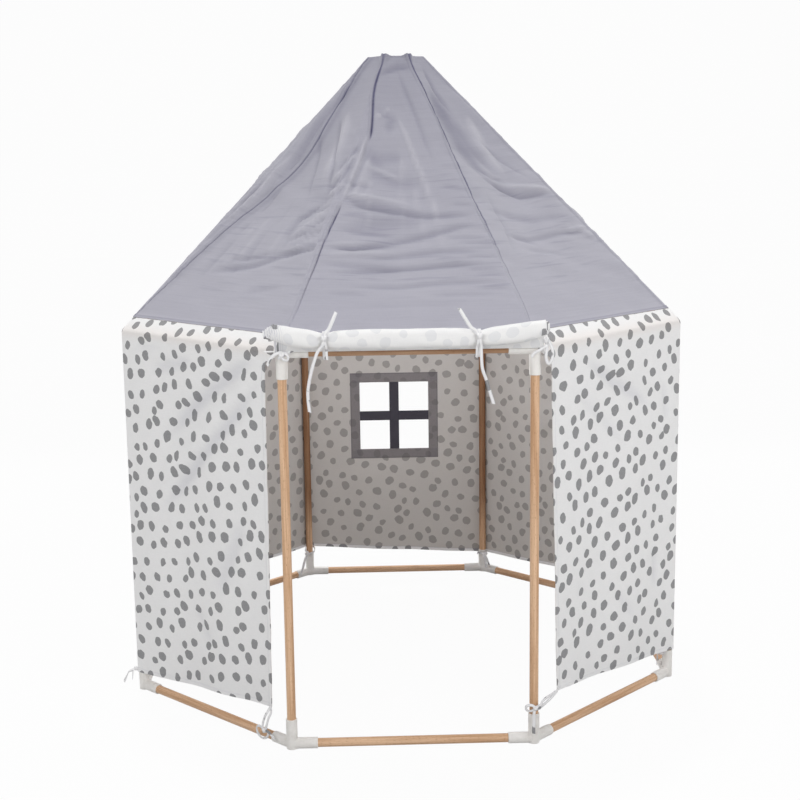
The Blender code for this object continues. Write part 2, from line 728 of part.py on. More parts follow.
def build_roll():
    """The rolled-up door, drawn in at the ties and narrower at its gathered ends.

    Its origin lies on the vertical line that it slides down along.
    """
    origin = in_front(0, ROLL_DISTANCE, ROLL_HEIGHT)
    places = {
        ROLL_LEFT_END + (ROLL_RIGHT_END - ROLL_LEFT_END) * step / ROLL_SECTIONS
        for step in range(ROLL_SECTIONS + 1)
    }
    for tie in (TIE_LEFT_PLACE, TIE_RIGHT_PLACE):
        places |= {tie - TIE_WIDTH / 2, tie, tie + TIE_WIDTH / 2}
    bm = bmesh.new()
    rings = []
    for across in sorted(places):
        ring = []
        for facet in range(ROLL_FACETS):
            angle = 2 * math.pi * (facet + 0.5) / ROLL_FACETS
            bump = math.sin(ROLL_BUMPS_AROUND * angle + 2 * math.pi * across / ROLL_BUMP_SPACING)
            loose = ROLL_LOOSENESS * (0.5 - 0.5 * bump) * (1 - pinch(across))
            share = ROLL_EDGE_SHARE * drawn_share(across) * (1 - loose)
            depth = -ROLL_HALF_DEPTH * share * math.cos(angle)
            height = ROLL_HALF_HEIGHT * share * math.sin(angle) + roll_lift(across)
            ring.append(bm.verts.new((across, depth, height)))
        rings.append(ring)
    for first, second in zip(rings, rings[1:]):
        for facet in range(ROLL_FACETS):
            after = (facet + 1) % ROLL_FACETS
            bm.faces.new((first[facet], first[after], second[after], second[facet]))
    bm.faces.new(rings[0])
    bm.faces.new(reversed(rings[-1]))
    bmesh.ops.recalc_face_normals(bm, faces=bm.faces)
    finished("door_roll", mesh_of("door_roll", bm), DOTTED_CLOTH, Matrix.Translation(origin), smooth=True)


def ribbon(points, width):
    """A flat strip along the points, wide along X, with square ends."""
    bm = bmesh.new()
    rings = []
    for place, point in enumerate(points):
        before = points[max(place - 1, 0)]
        after = points[min(place + 1, len(points) - 1)]
        along = (after - before).normalized()
        out = along.cross(Vector((1, 0, 0))).normalized() * TIE_THICKNESS / 2
        aside = Vector((width / 2, 0, 0))
        corners = (-aside - out, aside - out, aside + out, out - aside)
        rings.append([bm.verts.new(point + corner) for corner in corners])
    for first, second in zip(rings, rings[1:]):
        for corner in range(4):
            after = (corner + 1) % 4
            bm.faces.new((first[corner], first[after], second[after], second[corner]))
    bm.faces.new(rings[0])
    bm.faces.new(reversed(rings[-1]))
    bmesh.ops.recalc_face_normals(bm, faces=bm.faces)
    return mesh_of("ribbon", bm)


def build_tie(name, across, lean):
    """A ribbon that holds the roll up against the eave rail, with a knot, an upper and a lower tail.

    lean is +1 where the upper tail leans to the right and -1 where it leans to the left.
    """
    strap_turn = math.radians(STRAP_TO - STRAP_FROM) / STRAP_STEPS
    beside = ROLL_EDGE_SHARE * drawn_share(across + TIE_WIDTH / 2) / math.cos(strap_turn / 2)
    drawn_depth = ROLL_HALF_DEPTH * beside
    drawn_height = ROLL_HALF_HEIGHT * beside
    off = FIT_GAP + TIE_THICKNESS / 2

    def around_roll(angle, extra=0.0):
        """A point beside the drawn-in roll: angle 0 is in front, a right angle is on top."""
        return in_front(
            across,
            ROLL_DISTANCE + (drawn_depth + off + extra) * math.cos(angle),
            ROLL_HEIGHT + (drawn_height + off + extra) * math.sin(angle),
        )

    under = door_top() - DOOR_SHEET_DROP - off - FIT_GAP
    behind = SIDE_RADIUS - ROD_RADIUS - off
    low = min(under, EAVE_HEIGHT - ROD_RADIUS - TIE_BELOW_RAIL)
    strap = [in_front(across, slope_distance(SEAM_HEIGHT) + 2 * CLOTH_THICKNESS + off, SEAM_HEIGHT)]
    for step in range(STRAP_STEPS + 1):
        strap.append(around_roll(math.radians(STRAP_FROM) + strap_turn * step))
    strap += [
        in_front(across, WALL_OUTSIDE + off, low),
        in_front(across, SIDE_RADIUS, low),
        in_front(across, behind, EAVE_HEIGHT - ROD_RADIUS / 2),
        in_front(across, behind, EAVE_HEIGHT + ROD_RADIUS / 2),
    ]
    tail_off = 2 * TIE_THICKNESS
    crossing = [around_roll(math.radians(angle), tail_off) for angle in TAIL_ANGLES]
    leaning = Vector((lean * TIE_UP_LEAN, TIE_UP_SLOPE * TIE_UP_TAIL, TIE_UP_TAIL))
    tail = [crossing[0] + leaning, crossing[0] + leaning / 2, *crossing]
    tail += [crossing[-1] - TIE_DOWN_TAIL * Vector((sway, 0, part)) for part, sway in TAIL_SWAY]
    bm = bmesh.new()
    knot_depth = drawn_depth + FIT_GAP
    half_depth = (ROLL_HALF_DEPTH - knot_depth) / 2
    centre = in_front(across, ROLL_DISTANCE + knot_depth + half_depth, ROLL_HEIGHT)
    size = Matrix.Diagonal((KNOT_HALF_WIDTH, half_depth, KNOT_HALF_HEIGHT, 1))
    bmesh.ops.create_icosphere(bm, subdivisions=2, radius=1, matrix=Matrix.Translation(centre) @ size)
    mesh = joined(
        mesh_of("knot", bm),
        added=[ribbon(strap, TIE_WIDTH), ribbon(tail, TIE_WIDTH * TIE_TAIL_SHARE)],
    )
    finished(name, mesh, DOTTED_CLOTH)


clear_scene()
build_frame()
build_cover()
build_wing("wall_left", FIRST_LEFT_SIDE, 0, FREE_EDGE_SETBACK_LEFT_HEM)
build_wing("wall_right", FIRST_RIGHT_SIDE, 1, FREE_EDGE_SETBACK_RIGHT_HEM)
build_back_wall()
build_window()
build_header()
build_door_sheet()
build_roll()
build_tie("door_tie_left", TIE_LEFT_PLACE, 1)
build_tie("door_tie_right", TIE_RIGHT_PLACE, -1)
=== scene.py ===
"""The looks of the play tent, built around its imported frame: the camera, the stage and the light, then
the rods and connectors, the grey roof, the dotted walls with the window, the rolled-up door and the
ribbons that tie the cover to the frame.

Metres, +Z up, the door towards -Y, the floor at Z = 0.
"""

import math
import random

import bmesh
import bpy
import numpy as np
from mathutils import Matrix, Vector


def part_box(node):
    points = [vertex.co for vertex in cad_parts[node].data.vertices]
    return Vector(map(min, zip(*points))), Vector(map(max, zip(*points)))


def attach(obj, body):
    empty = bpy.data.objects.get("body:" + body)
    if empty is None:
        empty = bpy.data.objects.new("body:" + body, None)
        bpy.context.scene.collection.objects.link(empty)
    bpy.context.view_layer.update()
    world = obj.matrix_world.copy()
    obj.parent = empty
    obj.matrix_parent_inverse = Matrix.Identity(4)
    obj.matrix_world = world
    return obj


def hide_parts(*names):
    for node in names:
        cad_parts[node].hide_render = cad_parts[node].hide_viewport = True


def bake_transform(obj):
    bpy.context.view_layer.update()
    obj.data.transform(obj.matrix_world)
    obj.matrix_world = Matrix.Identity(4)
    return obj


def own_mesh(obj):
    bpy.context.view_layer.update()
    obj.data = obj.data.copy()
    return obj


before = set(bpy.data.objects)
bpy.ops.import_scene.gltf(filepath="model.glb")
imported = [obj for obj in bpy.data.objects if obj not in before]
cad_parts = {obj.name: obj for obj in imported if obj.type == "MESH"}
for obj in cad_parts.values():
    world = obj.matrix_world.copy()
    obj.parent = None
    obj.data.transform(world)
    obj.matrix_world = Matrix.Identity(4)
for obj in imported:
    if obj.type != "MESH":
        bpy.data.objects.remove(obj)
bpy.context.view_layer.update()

# Corners of the plan, clockwise from the left end of the door, and the side that follows each one
CORNERS = (
    "front_left", "left_front", "left_back", "back_left",
    "back_right", "right_back", "right_front", "front_right",
)
SIDES = ("front_left", "left", "back_left", "back", "back_right", "right", "front_right", "front")
BACK_SIDE, FRONT_SIDE = 3, 7

# The frame's sizes, as in the part
SIDE_LENGTH = 0.600
EAVE_HEIGHT = 0.990
HUB_HEIGHT = 1.682
HUB_RADIUS = 0.080
ROD_RADIUS = 0.011
FIT_GAP = 0.0003
BORE_RADIUS = ROD_RADIUS + FIT_GAP
SOCKET_RADIUS = BORE_RADIUS + 0.0022
SOCKET_REACH = 0.064
SOCKET_FLOOR = 0.020
CORE_RADIUS = SOCKET_RADIUS + 0.0005
BASE_HEIGHT = SOCKET_RADIUS - 0.0009

# The cover's sizes, as in the part
CLOTH_CLEARANCE = CORE_RADIUS + 0.0009
CLOTH_SPACE = 0.0015
SEAM_ABOVE_EAVE = 0.045
COVER_TOP_RADIUS = 0.082
COVER_TOP_DOME = 0.004
GORE_SAG = 0.012
GORE_FOLD_DEPTH = 0.004
WALL_FOLD_DEPTH = 0.009
HEM_HEIGHTS = (0.100, 0.050, 0.080, 0.097, 0.064, 0.080, 0.080, 0.120)
FREE_EDGE_SETBACK_TOP = 0.048
FREE_EDGE_SETBACK_LEFT_HEM = 0.062
FREE_EDGE_SETBACK_RIGHT_HEM = 0.079
WINDOW_HALF_WIDTH = 0.149
WINDOW_HALF_HEIGHT = 0.148
WINDOW_CENTRE_HEIGHT = 0.552
STRIP_WIDTH = 0.032
ROLL_LEFT_END = -0.340
ROLL_RIGHT_END = 0.330
ROLL_HALF_DEPTH = 0.019
ROLL_HALF_HEIGHT = 0.0250
ROLL_PINCH = 0.72
ROLL_GAP = 0.0005
ROLL_LEFT_LIFT = 0.0215
ROLL_RIGHT_LIFT = 0.020
ROLL_LIFT_POWER = 1.5
TIE_PLACES = (-0.198, 0.164)

# Worked out from them
COUNT = len(CORNERS)
STEP = 2 * math.pi / COUNT
HALF_STEP = STEP / 2
CORNER_RADIUS = SIDE_LENGTH / (2 * math.sin(HALF_STEP))
SIDE_RADIUS = SIDE_LENGTH / (2 * math.tan(HALF_STEP))
ROOF_PITCH = math.atan2(HUB_HEIGHT - EAVE_HEIGHT, CORNER_RADIUS - HUB_RADIUS)
GORE_PITCH = math.atan(math.tan(ROOF_PITCH) / math.cos(HALF_STEP))
WALL_DISTANCE = SIDE_RADIUS + CLOTH_CLEARANCE + CLOTH_SPACE / 2
WALL_OUTSIDE = SIDE_RADIUS + CLOTH_CLEARANCE + CLOTH_SPACE
FOLD_RISE = CLOTH_CLEARANCE * (1 / math.cos(ROOF_PITCH) - math.tan(GORE_PITCH))
FOLD_HEIGHT = EAVE_HEIGHT + FOLD_RISE
SEAM_HEIGHT = FOLD_HEIGHT + SEAM_ABOVE_EAVE * math.sin(GORE_PITCH)
ROLL_DISTANCE = WALL_OUTSIDE + ROLL_GAP + ROLL_HALF_DEPTH
ROLL_HEIGHT = EAVE_HEIGHT + 0.0331
UP = Vector((0, 0, 1))

hub_low, hub_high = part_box("roof_hub")
CENTRE = Vector(((hub_low.x + hub_high.x) / 2, (hub_low.y + hub_high.y) / 2, 0))

# Camera, found from the photograph's corners of the frame
CAMERA_PLACE = CENTRE + Vector((-0.1182, -4.0752, 1.4796))
CAMERA_YAW, CAMERA_PITCH, CAMERA_ROLL = 1.65, 10.29, -0.77
CAMERA_LENS = 64.55

CLOTH_THICKNESS = 0.0007
HEM_THICKNESS = 0.0020


def corner_direction(corner):
    angle = -math.pi / 2 - HALF_STEP - STEP * corner
    return Vector((math.cos(angle), math.sin(angle), 0))


def side_direction(side):
    angle = -math.pi / 2 - STEP * (side + 1)
    return Vector((math.cos(angle), math.sin(angle), 0))


def node_at(corner, height):
    return CENTRE + CORNER_RADIUS * corner_direction(corner) + height * UP


def on_side(side, share, distance, height):
    """A point on a side's plane, distance from the tent's axis, share of the way to the next corner."""
    radius = distance / math.cos(HALF_STEP)
    start = radius * corner_direction(side)
    end = radius * corner_direction(side + 1)
    return CENTRE + start.lerp(end, share) + height * UP


def in_front(across, distance, height):
    return CENTRE + Vector((across, -distance, height))


def turned_to(direction, hint):
    """A rotation whose Z runs along direction and whose X leans to hint."""
    z = direction.normalized()
    y = z.cross(hint).normalized()
    return Matrix((y.cross(z), y, z)).transposed().to_4x4()


# Camera, stage and light


def make_camera():
    yaw, pitch, roll = (math.radians(angle) for angle in (CAMERA_YAW, CAMERA_PITCH, CAMERA_ROLL))
    ahead = Vector((math.sin(yaw) * math.cos(pitch), math.cos(yaw) * math.cos(pitch), -math.sin(pitch)))
    level = Vector((math.cos(yaw), -math.sin(yaw), 0))
    upward = level.cross(ahead)
    right = math.cos(roll) * level + math.sin(roll) * upward
    top = -math.sin(roll) * level + math.cos(roll) * upward
    data = bpy.data.cameras.new("camera")
    data.sensor_width = 36
    data.lens = CAMERA_LENS
    data.clip_start, data.clip_end = 0.05, 60
    camera = bpy.data.objects.new("camera", data)
    bpy.context.scene.collection.objects.link(camera)
    turn = Matrix((right, top, -ahead)).transposed().to_4x4()
    camera.matrix_world = Matrix.Translation(CAMERA_PLACE) @ turn
    bpy.context.scene.camera = camera


class Shader:
    """The nodes of a material or of the world, with short calls to add them and feed their inputs."""

    def __init__(self, name, kind="Material"):
        store = bpy.data.worlds if kind == "World" else bpy.data.materials
        self.owner = store.new(name)
        self.owner.use_nodes = True
        self.tree = self.owner.node_tree
        self.tree.nodes.clear()
        self.out = self.tree.nodes.new("ShaderNodeOutput" + kind)

    def add(self, kind, feeds=(), **settings):
        """A node of this kind. feeds maps an input's name or number to a value or to a node's output."""
        node = self.tree.nodes.new("ShaderNode" + kind)
        for key, value in settings.items():
            setattr(node, key, value)
        for key, value in dict(feeds).items():
            self.feed(node.inputs[key], value)
        return node

    def feed(self, socket, value):
        if isinstance(value, bpy.types.NodeSocket):
            self.tree.links.new(value, socket)
        else:
            socket.default_value = value

    def math(self, operation, *values, clamp=False):
        node = self.add("Math", enumerate(values), operation=operation, use_clamp=clamp)
        return node.outputs[0]

    def vector(self, operation, *values):
        node = self.add("VectorMath", enumerate(values), operation=operation)
        return node.outputs["Value" if operation == "LENGTH" else "Vector"]

    def split(self, vector):
        return self.add("SeparateXYZ", {0: vector}).outputs

    def joined(self, x, y):
        return self.add("CombineXYZ", {0: x, 1: y}).outputs[0]

    def turned(self, vector, angle):
        return self.add("VectorRotate", {"Vector": vector, "Angle": angle}, rotation_type="Z_AXIS").outputs[0]

    def smooth(self, value, low, high, to_low=0.0, to_high=1.0):
        """The value carried smoothly from one range to another."""
        feeds = {"Value": value, "From Min": low, "From Max": high, "To Min": to_low, "To Max": to_high}
        return self.add("MapRange", feeds, interpolation_type="SMOOTHSTEP").outputs[0]

    def weighed(self, first, share, second):
        """The first value's share, and the rest of the second value."""
        return self.math("ADD", self.math("MULTIPLY", first, share), self.math("MULTIPLY", second, 1 - share))

    def noise(self, where, scale, detail=2.0, roughness=0.5):
        feeds = {"Vector": where, "Scale": scale, "Detail": detail, "Roughness": roughness}
        return self.add("TexNoise", feeds).outputs["Fac"]

    def streaks(self, where, across, along, detail=1.0, roughness=0.5):
        """Noise stretched by these scales in the two directions of a flat map."""
        return self.noise(self.vector("MULTIPLY", where, (across, along, 1.0)), 1.0, detail, roughness)

    def mix(self, share, first, second):
        node = self.tree.nodes.new("ShaderNodeMix")
        node.data_type = "RGBA"
        for key, value in (("Factor_Float", share), ("A_Color", first), ("B_Color", second)):
            socket = next(s for s in node.inputs if s.identifier == key)
            self.feed(socket, (*value, 1) if isinstance(value, tuple) else value)
        return next(s for s in node.outputs if s.identifier == "Result_Color")

    def tinted(self, share, colour, factor):
        """The colour, multiplied by the factor as far as the share says."""
        return self.mix(share, colour, self.vector("MULTIPLY", colour, factor))

    def uv(self, name):
        return self.add("UVMap", uv_map=name).outputs[0]

    def surface(self, colour, roughness, heights=(), sheen=0.0, specular=0.4):
        """A Principled surface. heights are (height, distance, strength) for bumps laid over each other."""
        feeds = {"Base Color": colour, "Roughness": roughness, "Sheen Weight": sheen}
        shader = self.add("BsdfPrincipled", {**feeds, "Specular IOR Level": specular})
        normal = {}
        for height, distance, strength in heights:
            feeds = {"Height": height, "Distance": distance, "Strength": strength, **normal}
            normal = {"Normal": self.add("Bump", feeds).outputs[0]}
        if normal:
            self.feed(shader.inputs["Normal"], normal["Normal"])
        self.tree.links.new(shader.outputs[0], self.out.inputs[0])
        return self.owner


def stage_material(name, brightness):
    """Seen by the camera and in gloss it is nearly plain white, and it keeps a soft shadow."""
    s = Shader(name)
    path = s.add("LightPath").outputs
    seen = s.math("MAXIMUM", path["Is Camera Ray"], path["Is Glossy Ray"])
    seen = s.math("MAXIMUM", seen, path["Is Transmission Ray"])
    plain = s.add("Emission", {"Color": WHITE, "Strength": 1.0}).outputs[0]
    lit = s.add("BsdfDiffuse", {"Color": (brightness, brightness, brightness, 1)}).outputs[0]
    mixed = s.add("MixShader", {0: s.math("MULTIPLY", seen, STAGE_PLAINNESS), 1: lit, 2: plain})
    s.tree.links.new(mixed.outputs[0], s.out.inputs[0])
    return s.owner


WHITE = (1, 1, 1, 1)
STAGE_PLAINNESS, STAGE_BRIGHTNESS = 0.96, 0.60
# The stage: a floor of this half width that bends up into a wall behind the tent
STAGE_HALF, STAGE_BACK, STAGE_TOP, STAGE_BEND, BEND_STEPS = 9, 5.0, 6.0, 1.5, 10
# How bright the white world is as light, while the camera sees it plain white
WORLD_STRENGTH = 0.40
# Name, place, the point that it faces, size and power of each soft lamp
LAMPS = (
    ("front_left", (-2.7, -3.6, 3.0), (0, 0, 0.7), 1.8, 58),
    ("front_right", (2.9, -3.6, 2.9), (0, 0, 0.7), 2.2, 74),
    ("back_left", (-3.4, 3.2, 3.2), (0, 0, 0.7), 2.2, 46),
    ("back_right", (3.4, 3.2, 3.2), (0, 0, 0.7), 2.2, 46),
)
OVERHEAD = (-0.08, 0.38, 1.0)
OVERHEAD_STRENGTH, OVERHEAD_SPREAD = 1.20, 7
# The light that comes through the cloth, as a soft glow in the middle of the tent
GLOW_PLACE, GLOW_RADIUS, GLOW_POWER = (0, 0, 0.95), 0.22, 8.9


def add_lamp(name, kind, place, aim, power, **settings):
    lamp = bpy.data.lights.new(name, kind)
    lamp.energy = power
    for key, value in settings.items():
        setattr(lamp, key, value)
    thing = bpy.data.objects.new(name, lamp)
    bpy.context.scene.collection.objects.link(thing)
    turn = Vector(aim).to_track_quat("-Z", "Y").to_matrix().to_4x4()
    thing.matrix_world = Matrix.Translation(place) @ turn
    thing.visible_camera = False


def make_world():
    s = Shader("world", "World")
    path = s.add("LightPath").outputs
    seen = s.math("MAXIMUM", path["Is Camera Ray"], path["Is Transmission Ray"])
    strength = s.add("MapRange", {"Value": seen, "To Min": WORLD_STRENGTH, "To Max": 1.0}).outputs[0]
    sky = s.add("Background", {"Color": WHITE, "Strength": strength}).outputs[0]
    s.tree.links.new(sky, s.out.inputs[0])
    bpy.context.scene.world = s.owner


def make_stage():
    bm = bmesh.new()
    profile = [(-STAGE_HALF, 0), (STAGE_BACK - STAGE_BEND, 0)]
    for step in range(1, BEND_STEPS + 1):
        angle = math.pi / 2 * step / BEND_STEPS
        run, rise = math.sin(angle), 1 - math.cos(angle)
        profile.append((STAGE_BACK - STAGE_BEND + STAGE_BEND * run, STAGE_BEND * rise))
    profile.append((STAGE_BACK, STAGE_TOP))
    rows = [[bm.verts.new((x, y, z)) for x in (-STAGE_HALF, STAGE_HALF)] for y, z in profile]
    for low, high in zip(rows, rows[1:]):
        bm.faces.new((low[0], low[1], high[1], high[0]))
    material = stage_material("stage", STAGE_BRIGHTNESS)
    finished_piece("stage_floor", mesh_from("stage_floor", bm), [material])
    make_world()
    for name, place, target, size, power in LAMPS:
        aim = Vector(target) - Vector(place)
        add_lamp(name, "AREA", place, aim, power, shape="DISK", size=size)
    sky_side, spread = Vector(OVERHEAD), math.radians(OVERHEAD_SPREAD)
    add_lamp("overhead", "SUN", 5 * sky_side, -sky_side, OVERHEAD_STRENGTH, angle=spread)
    place = CENTRE + Vector(GLOW_PLACE)
    add_lamp("glow", "POINT", place, -UP, GLOW_POWER, shadow_soft_size=GLOW_RADIUS)
    bpy.context.scene.view_settings.view_transform = "Standard"


# Materials

WOOD_PALE, WOOD_DARK, WOOD_FLECK = (0.80, 0.540, 0.350), (0.56, 0.325, 0.180), (0.34, 0.170, 0.085)
PLASTIC_COLOUR, PLASTIC_SHADE = (0.86, 0.840, 0.81), (0.78, 0.755, 0.72)
ROOF_COLOUR, ROOF_DARK = (0.418, 0.412, 0.470), (0.378, 0.372, 0.432)
PRINT_WHITE, PRINT_GREY = (0.895, 0.890, 0.892), (0.300, 0.300, 0.307)
# The inside and the door's inner face: the reverse side's white and grey, darkened and warmed as painted
# shade
SHADED_INSIDE_CLOTH, SHADED_INSIDE_DOT = (0.650, 0.625, 0.595), (0.385, 0.367, 0.350)
REVERSE_CLOTH, REVERSE_DOT = (0.90, 0.895, 0.89), (0.790, 0.790, 0.800)
TRIM_COLOUR, TRIM_DOT, BAR_COLOUR = (0.285, 0.266, 0.270), (0.190, 0.176, 0.180), (0.075, 0.070, 0.090)
# Painted shade: rods deep inside the tent, and the eave rails, are this much darker and warmer: the ranges of
# y and of height over which it comes in, the range of height of the rails, and the rails' share of it
WOOD_PAINTED_SHADE = (0.42, 0.34, 0.28)
SHADE_Y, SHADE_Z, RAIL_Z, RAIL_SHADE_SHARE = (-0.60, 0.35), (0.10, 0.30), (0.950, 0.970), 0.52
# The roof's cloudy tone and streaks, and the painted highlight on the ridges of its creases
ROOF_CLOUD, ROOF_STREAK, ROOF_PAINTED_HIGHLIGHT = (0.450, 0.442, 0.492), (0.86, 0.86, 0.89), (1.24, 1.24, 1.20)
# The print: metres between dots, the angle of their rows, and each dot's size and unevenness
DOT_SPACING, PRINT_TURN = 0.0515, 0.21
DOT_SIZE, DOT_SIZE_RANGE, DOT_SCATTER, DOT_WOBBLE = 0.202, 0.085, 0.44, 0.0078
DOT_OVAL = (0.91, 1.09, 1.0)


def wood_material():
    s = Shader("beech_rod")
    grain = s.uv("Grain")
    bands = s.streaks(grain, 90.0, 3.2, 3.0, 0.55)
    streaks = s.streaks(grain, 420.0, 7.0, 2.0, 0.6)
    flecks = s.streaks(grain, 900.0, 95.0)
    colour = s.mix(s.smooth(s.weighed(bands, 0.62, streaks), 0.36, 0.64), WOOD_DARK, WOOD_PALE)
    colour = s.mix(s.smooth(flecks, 0.62, 0.72, 0.0, 0.60), colour, WOOD_FLECK)
    # Painted shade: darker, warmer wood deep inside the tent and on the eave rails
    where = s.split(s.add("NewGeometry").outputs["Position"])
    deep = s.math("MULTIPLY", s.smooth(where[1], *SHADE_Y), s.smooth(where[2], *SHADE_Z))
    deep = s.math("MAXIMUM", deep, s.smooth(where[2], *RAIL_Z, 0.0, RAIL_SHADE_SHARE))
    colour = s.tinted(deep, colour, WOOD_PAINTED_SHADE)
    roughness = s.smooth(streaks, 0.3, 0.7, 0.46, 0.60)
    return s.surface(colour, roughness, [(streaks, 0.0004, 0.35), (flecks, 0.0002, 0.25)], specular=0.35)


def plastic_material():
    s = Shader("white_plastic")
    where = s.add("TexCoord").outputs["Object"]
    cloud = s.noise(where, 38.0, 3.0, 0.6)
    orange_peel = s.noise(where, 900.0, 1.0, 0.5)
    colour = s.mix(s.smooth(cloud, 0.35, 0.72), PLASTIC_COLOUR, PLASTIC_SHADE)
    roughness = s.smooth(cloud, 0.3, 0.7, 0.34, 0.46)
    return s.surface(colour, roughness, [(orange_peel, 0.0001, 0.22)], specular=0.45)


def weave_of(s, cloth):
    """Threads that cross, and the uneven thickness that makes faint lines both ways."""
    return s.weighed(s.streaks(cloth, 900.0, 60.0), 0.5, s.streaks(cloth, 45.0, 800.0))


def stitches_and_painted_light(s, colour, depth, below):
    """The colour darkened where the mesh's seam attribute is above 0: along stitches, and as painted shade, a
    little bluer, in folds. Where it is less than 0 it is multiplied by the colour below: a painted highlight
    on the roof's ridges and a painted warm shade by the walls' eave rail."""
    seam = s.add("Attribute", attribute_name="seam").outputs["Fac"]
    colour = s.tinted(seam, colour, (1 - depth, 1 - depth, 1 - depth * 0.82))
    return s.tinted(s.math("MULTIPLY", seam, -1.0, clamp=True), colour, below)


def roof_material():
    s = Shader("grey_cloth")
    cloth = s.uv("Cloth")
    weave = weave_of(s, cloth)
    cloud = s.noise(cloth, 5.5, 3.0, 0.55)
    slub = s.streaks(cloth, 5.0, 210.0, 2.0, 0.6)
    colour = s.mix(s.smooth(s.weighed(weave, 0.6, slub), 0.26, 0.70), ROOF_DARK, ROOF_COLOUR)
    colour = s.mix(s.smooth(cloud, 0.3, 0.75, 0.0, 0.22), colour, ROOF_CLOUD)
    up = s.split(cloth)[1]
    middle = s.math("MULTIPLY", s.smooth(up, 0.05, 0.16), s.smooth(up, 0.62, 0.42))
    streak = s.streaks(cloth, 5.5, 68.0, 2.0, 0.55)
    colour = s.tinted(s.math("MULTIPLY", s.smooth(streak, 0.54, 0.72), middle), colour, ROOF_STREAK)
    # Stitches darken it, painted shade darkens its creases and its top, and below 0 a painted highlight
    # lights the creases' ridges
    colour = stitches_and_painted_light(s, colour, 0.80, ROOF_PAINTED_HIGHLIGHT)
    crease = s.streaks(cloth, 9.0, 22.0, 2.0)
    heights = [(crease, 0.004, 0.30), (streak, 0.003, 0.30), (weave, 0.0005, 0.35)]
    return s.surface(colour, 0.78, heights, sheen=0.22, specular=0.18)


def dots_mask(s, cloth):
    """1 on the printed dots: one uneven rounded blot in each cell of a loose pattern."""
    wobble = s.add("TexNoise", {"Vector": cloth, "Scale": 62.0, "Detail": 1.0}).outputs["Color"]
    wobble = s.vector("SCALE", s.vector("SUBTRACT", wobble, (0.5, 0.5, 0.5)))
    wobble.node.inputs["Scale"].default_value = DOT_WOBBLE
    where = s.split(s.turned(s.vector("ADD", cloth, wobble), PRINT_TURN))
    row = s.math("MULTIPLY", where[1], 2 / math.sqrt(3) / DOT_SPACING)
    grid = s.joined(s.math("MULTIPLY_ADD", row, -0.5, s.math("MULTIPLY", where[0], 1 / DOT_SPACING)), row)
    feeds = {"Vector": grid, "Scale": 1.0, "Randomness": DOT_SCATTER}
    cells = s.add("TexVoronoi", feeds, voronoi_dimensions="2D", feature="F1")
    away = s.split(s.vector("SUBTRACT", grid, cells.outputs["Position"]))
    across = s.math("MULTIPLY_ADD", away[1], 0.5, away[0])
    away = s.joined(across, s.math("MULTIPLY", away[1], math.sqrt(3) / 2))
    pick = s.add("SeparateColor", {0: cells.outputs["Color"]}).outputs
    oval = s.vector("MULTIPLY", s.turned(away, s.math("MULTIPLY", pick[0], 2 * math.pi)), DOT_OVAL)
    size = s.math("MULTIPLY_ADD", pick[1], DOT_SIZE_RANGE, DOT_SIZE)
    return s.smooth(s.math("SUBTRACT", size, s.vector("LENGTH", oval)), -0.010, 0.014)


def shaded(colour, factor):
    return tuple(channel * factor for channel in colour)


def printed_material(name, ground, dot, in_space=False, sparse=False):
    """The dotted cloth. in_space lays the print by the cloth's place in space, not by its flat map, and
    sparse leaves most of it out, as on the narrow ribbons."""
    s = Shader(name)
    cloth = s.uv("Cloth")
    if in_space:
        where = s.split(s.add("TexCoord").outputs["Object"])
        cloth = s.joined(where[0], where[2])
    weave = weave_of(s, cloth)
    cloud = s.noise(cloth, 7.0, 3.0, 0.55)
    ink = dots_mask(s, cloth)
    worn = s.noise(cloth, 260.0, 2.0, 0.6)
    colour = s.mix(s.smooth(weave, 0.34, 0.66), shaded(ground, 0.955), ground)
    colour = s.mix(s.smooth(cloud, 0.35, 0.75, 0.0, 0.12), colour, shaded(ground, 0.93))
    ink = s.math("MULTIPLY", ink, s.smooth(worn, 0.25, 0.55, 0.90, 1.0))
    if sparse:
        ink = s.math("MULTIPLY", ink, s.smooth(s.noise(cloth, 21.0, 1.0), 0.50, 0.56))
    # Stitches darken it, painted shade darkens folds, and below 0 a painted warm shade tints it by the eave
    # rail
    colour = stitches_and_painted_light(s, s.mix(ink, colour, dot), 0.30, (0.955, 0.890, 0.845))
    crease = s.streaks(cloth, 16.0, 9.0, 2.0)
    return s.surface(colour, 0.82, [(crease, 0.004, 0.25), (weave, 0.0004, 0.35)], sheen=0.12, specular=0.16)


def trim_material(name, ground, dot, dots=True):
    s = Shader(name)
    cloth = s.uv("Cloth")
    weave = weave_of(s, cloth)
    colour = s.mix(s.smooth(weave, 0.32, 0.68), shaded(ground, 0.86), ground)
    if dots:
        colour = s.mix(s.math("MULTIPLY", dots_mask(s, cloth), 0.6), colour, dot)
    colour = stitches_and_painted_light(s, colour, 0.45, (1.10, 1.10, 1.10))
    return s.surface(colour, 0.80, [(weave, 0.0005, 0.4)], sheen=0.25, specular=0.18)


# Meshes


def mesh_from(name, bm):
    mesh = bpy.data.meshes.new(name)
    bm.to_mesh(mesh)
    bm.free()
    return mesh


def finished_piece(name, mesh, materials, matrix=None, smooth=False, sharp=None):
    thing = bpy.data.objects.new(name, mesh)
    bpy.context.scene.collection.objects.link(thing)
    if matrix:
        thing.matrix_world = matrix
    for material in materials:
        if len(mesh.materials) < len(materials):
            mesh.materials.append(material)
    if smooth:
        mesh.shade_smooth()
        if sharp:
            mesh.set_sharp_from_angle(angle=math.radians(sharp))
    return thing


def declare(piece, node=None, body="root"):
    """Attach the piece to the body that it moves with, and hide the CAD node that it stands for."""
    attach(piece, body)
    if node:
        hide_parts(node)


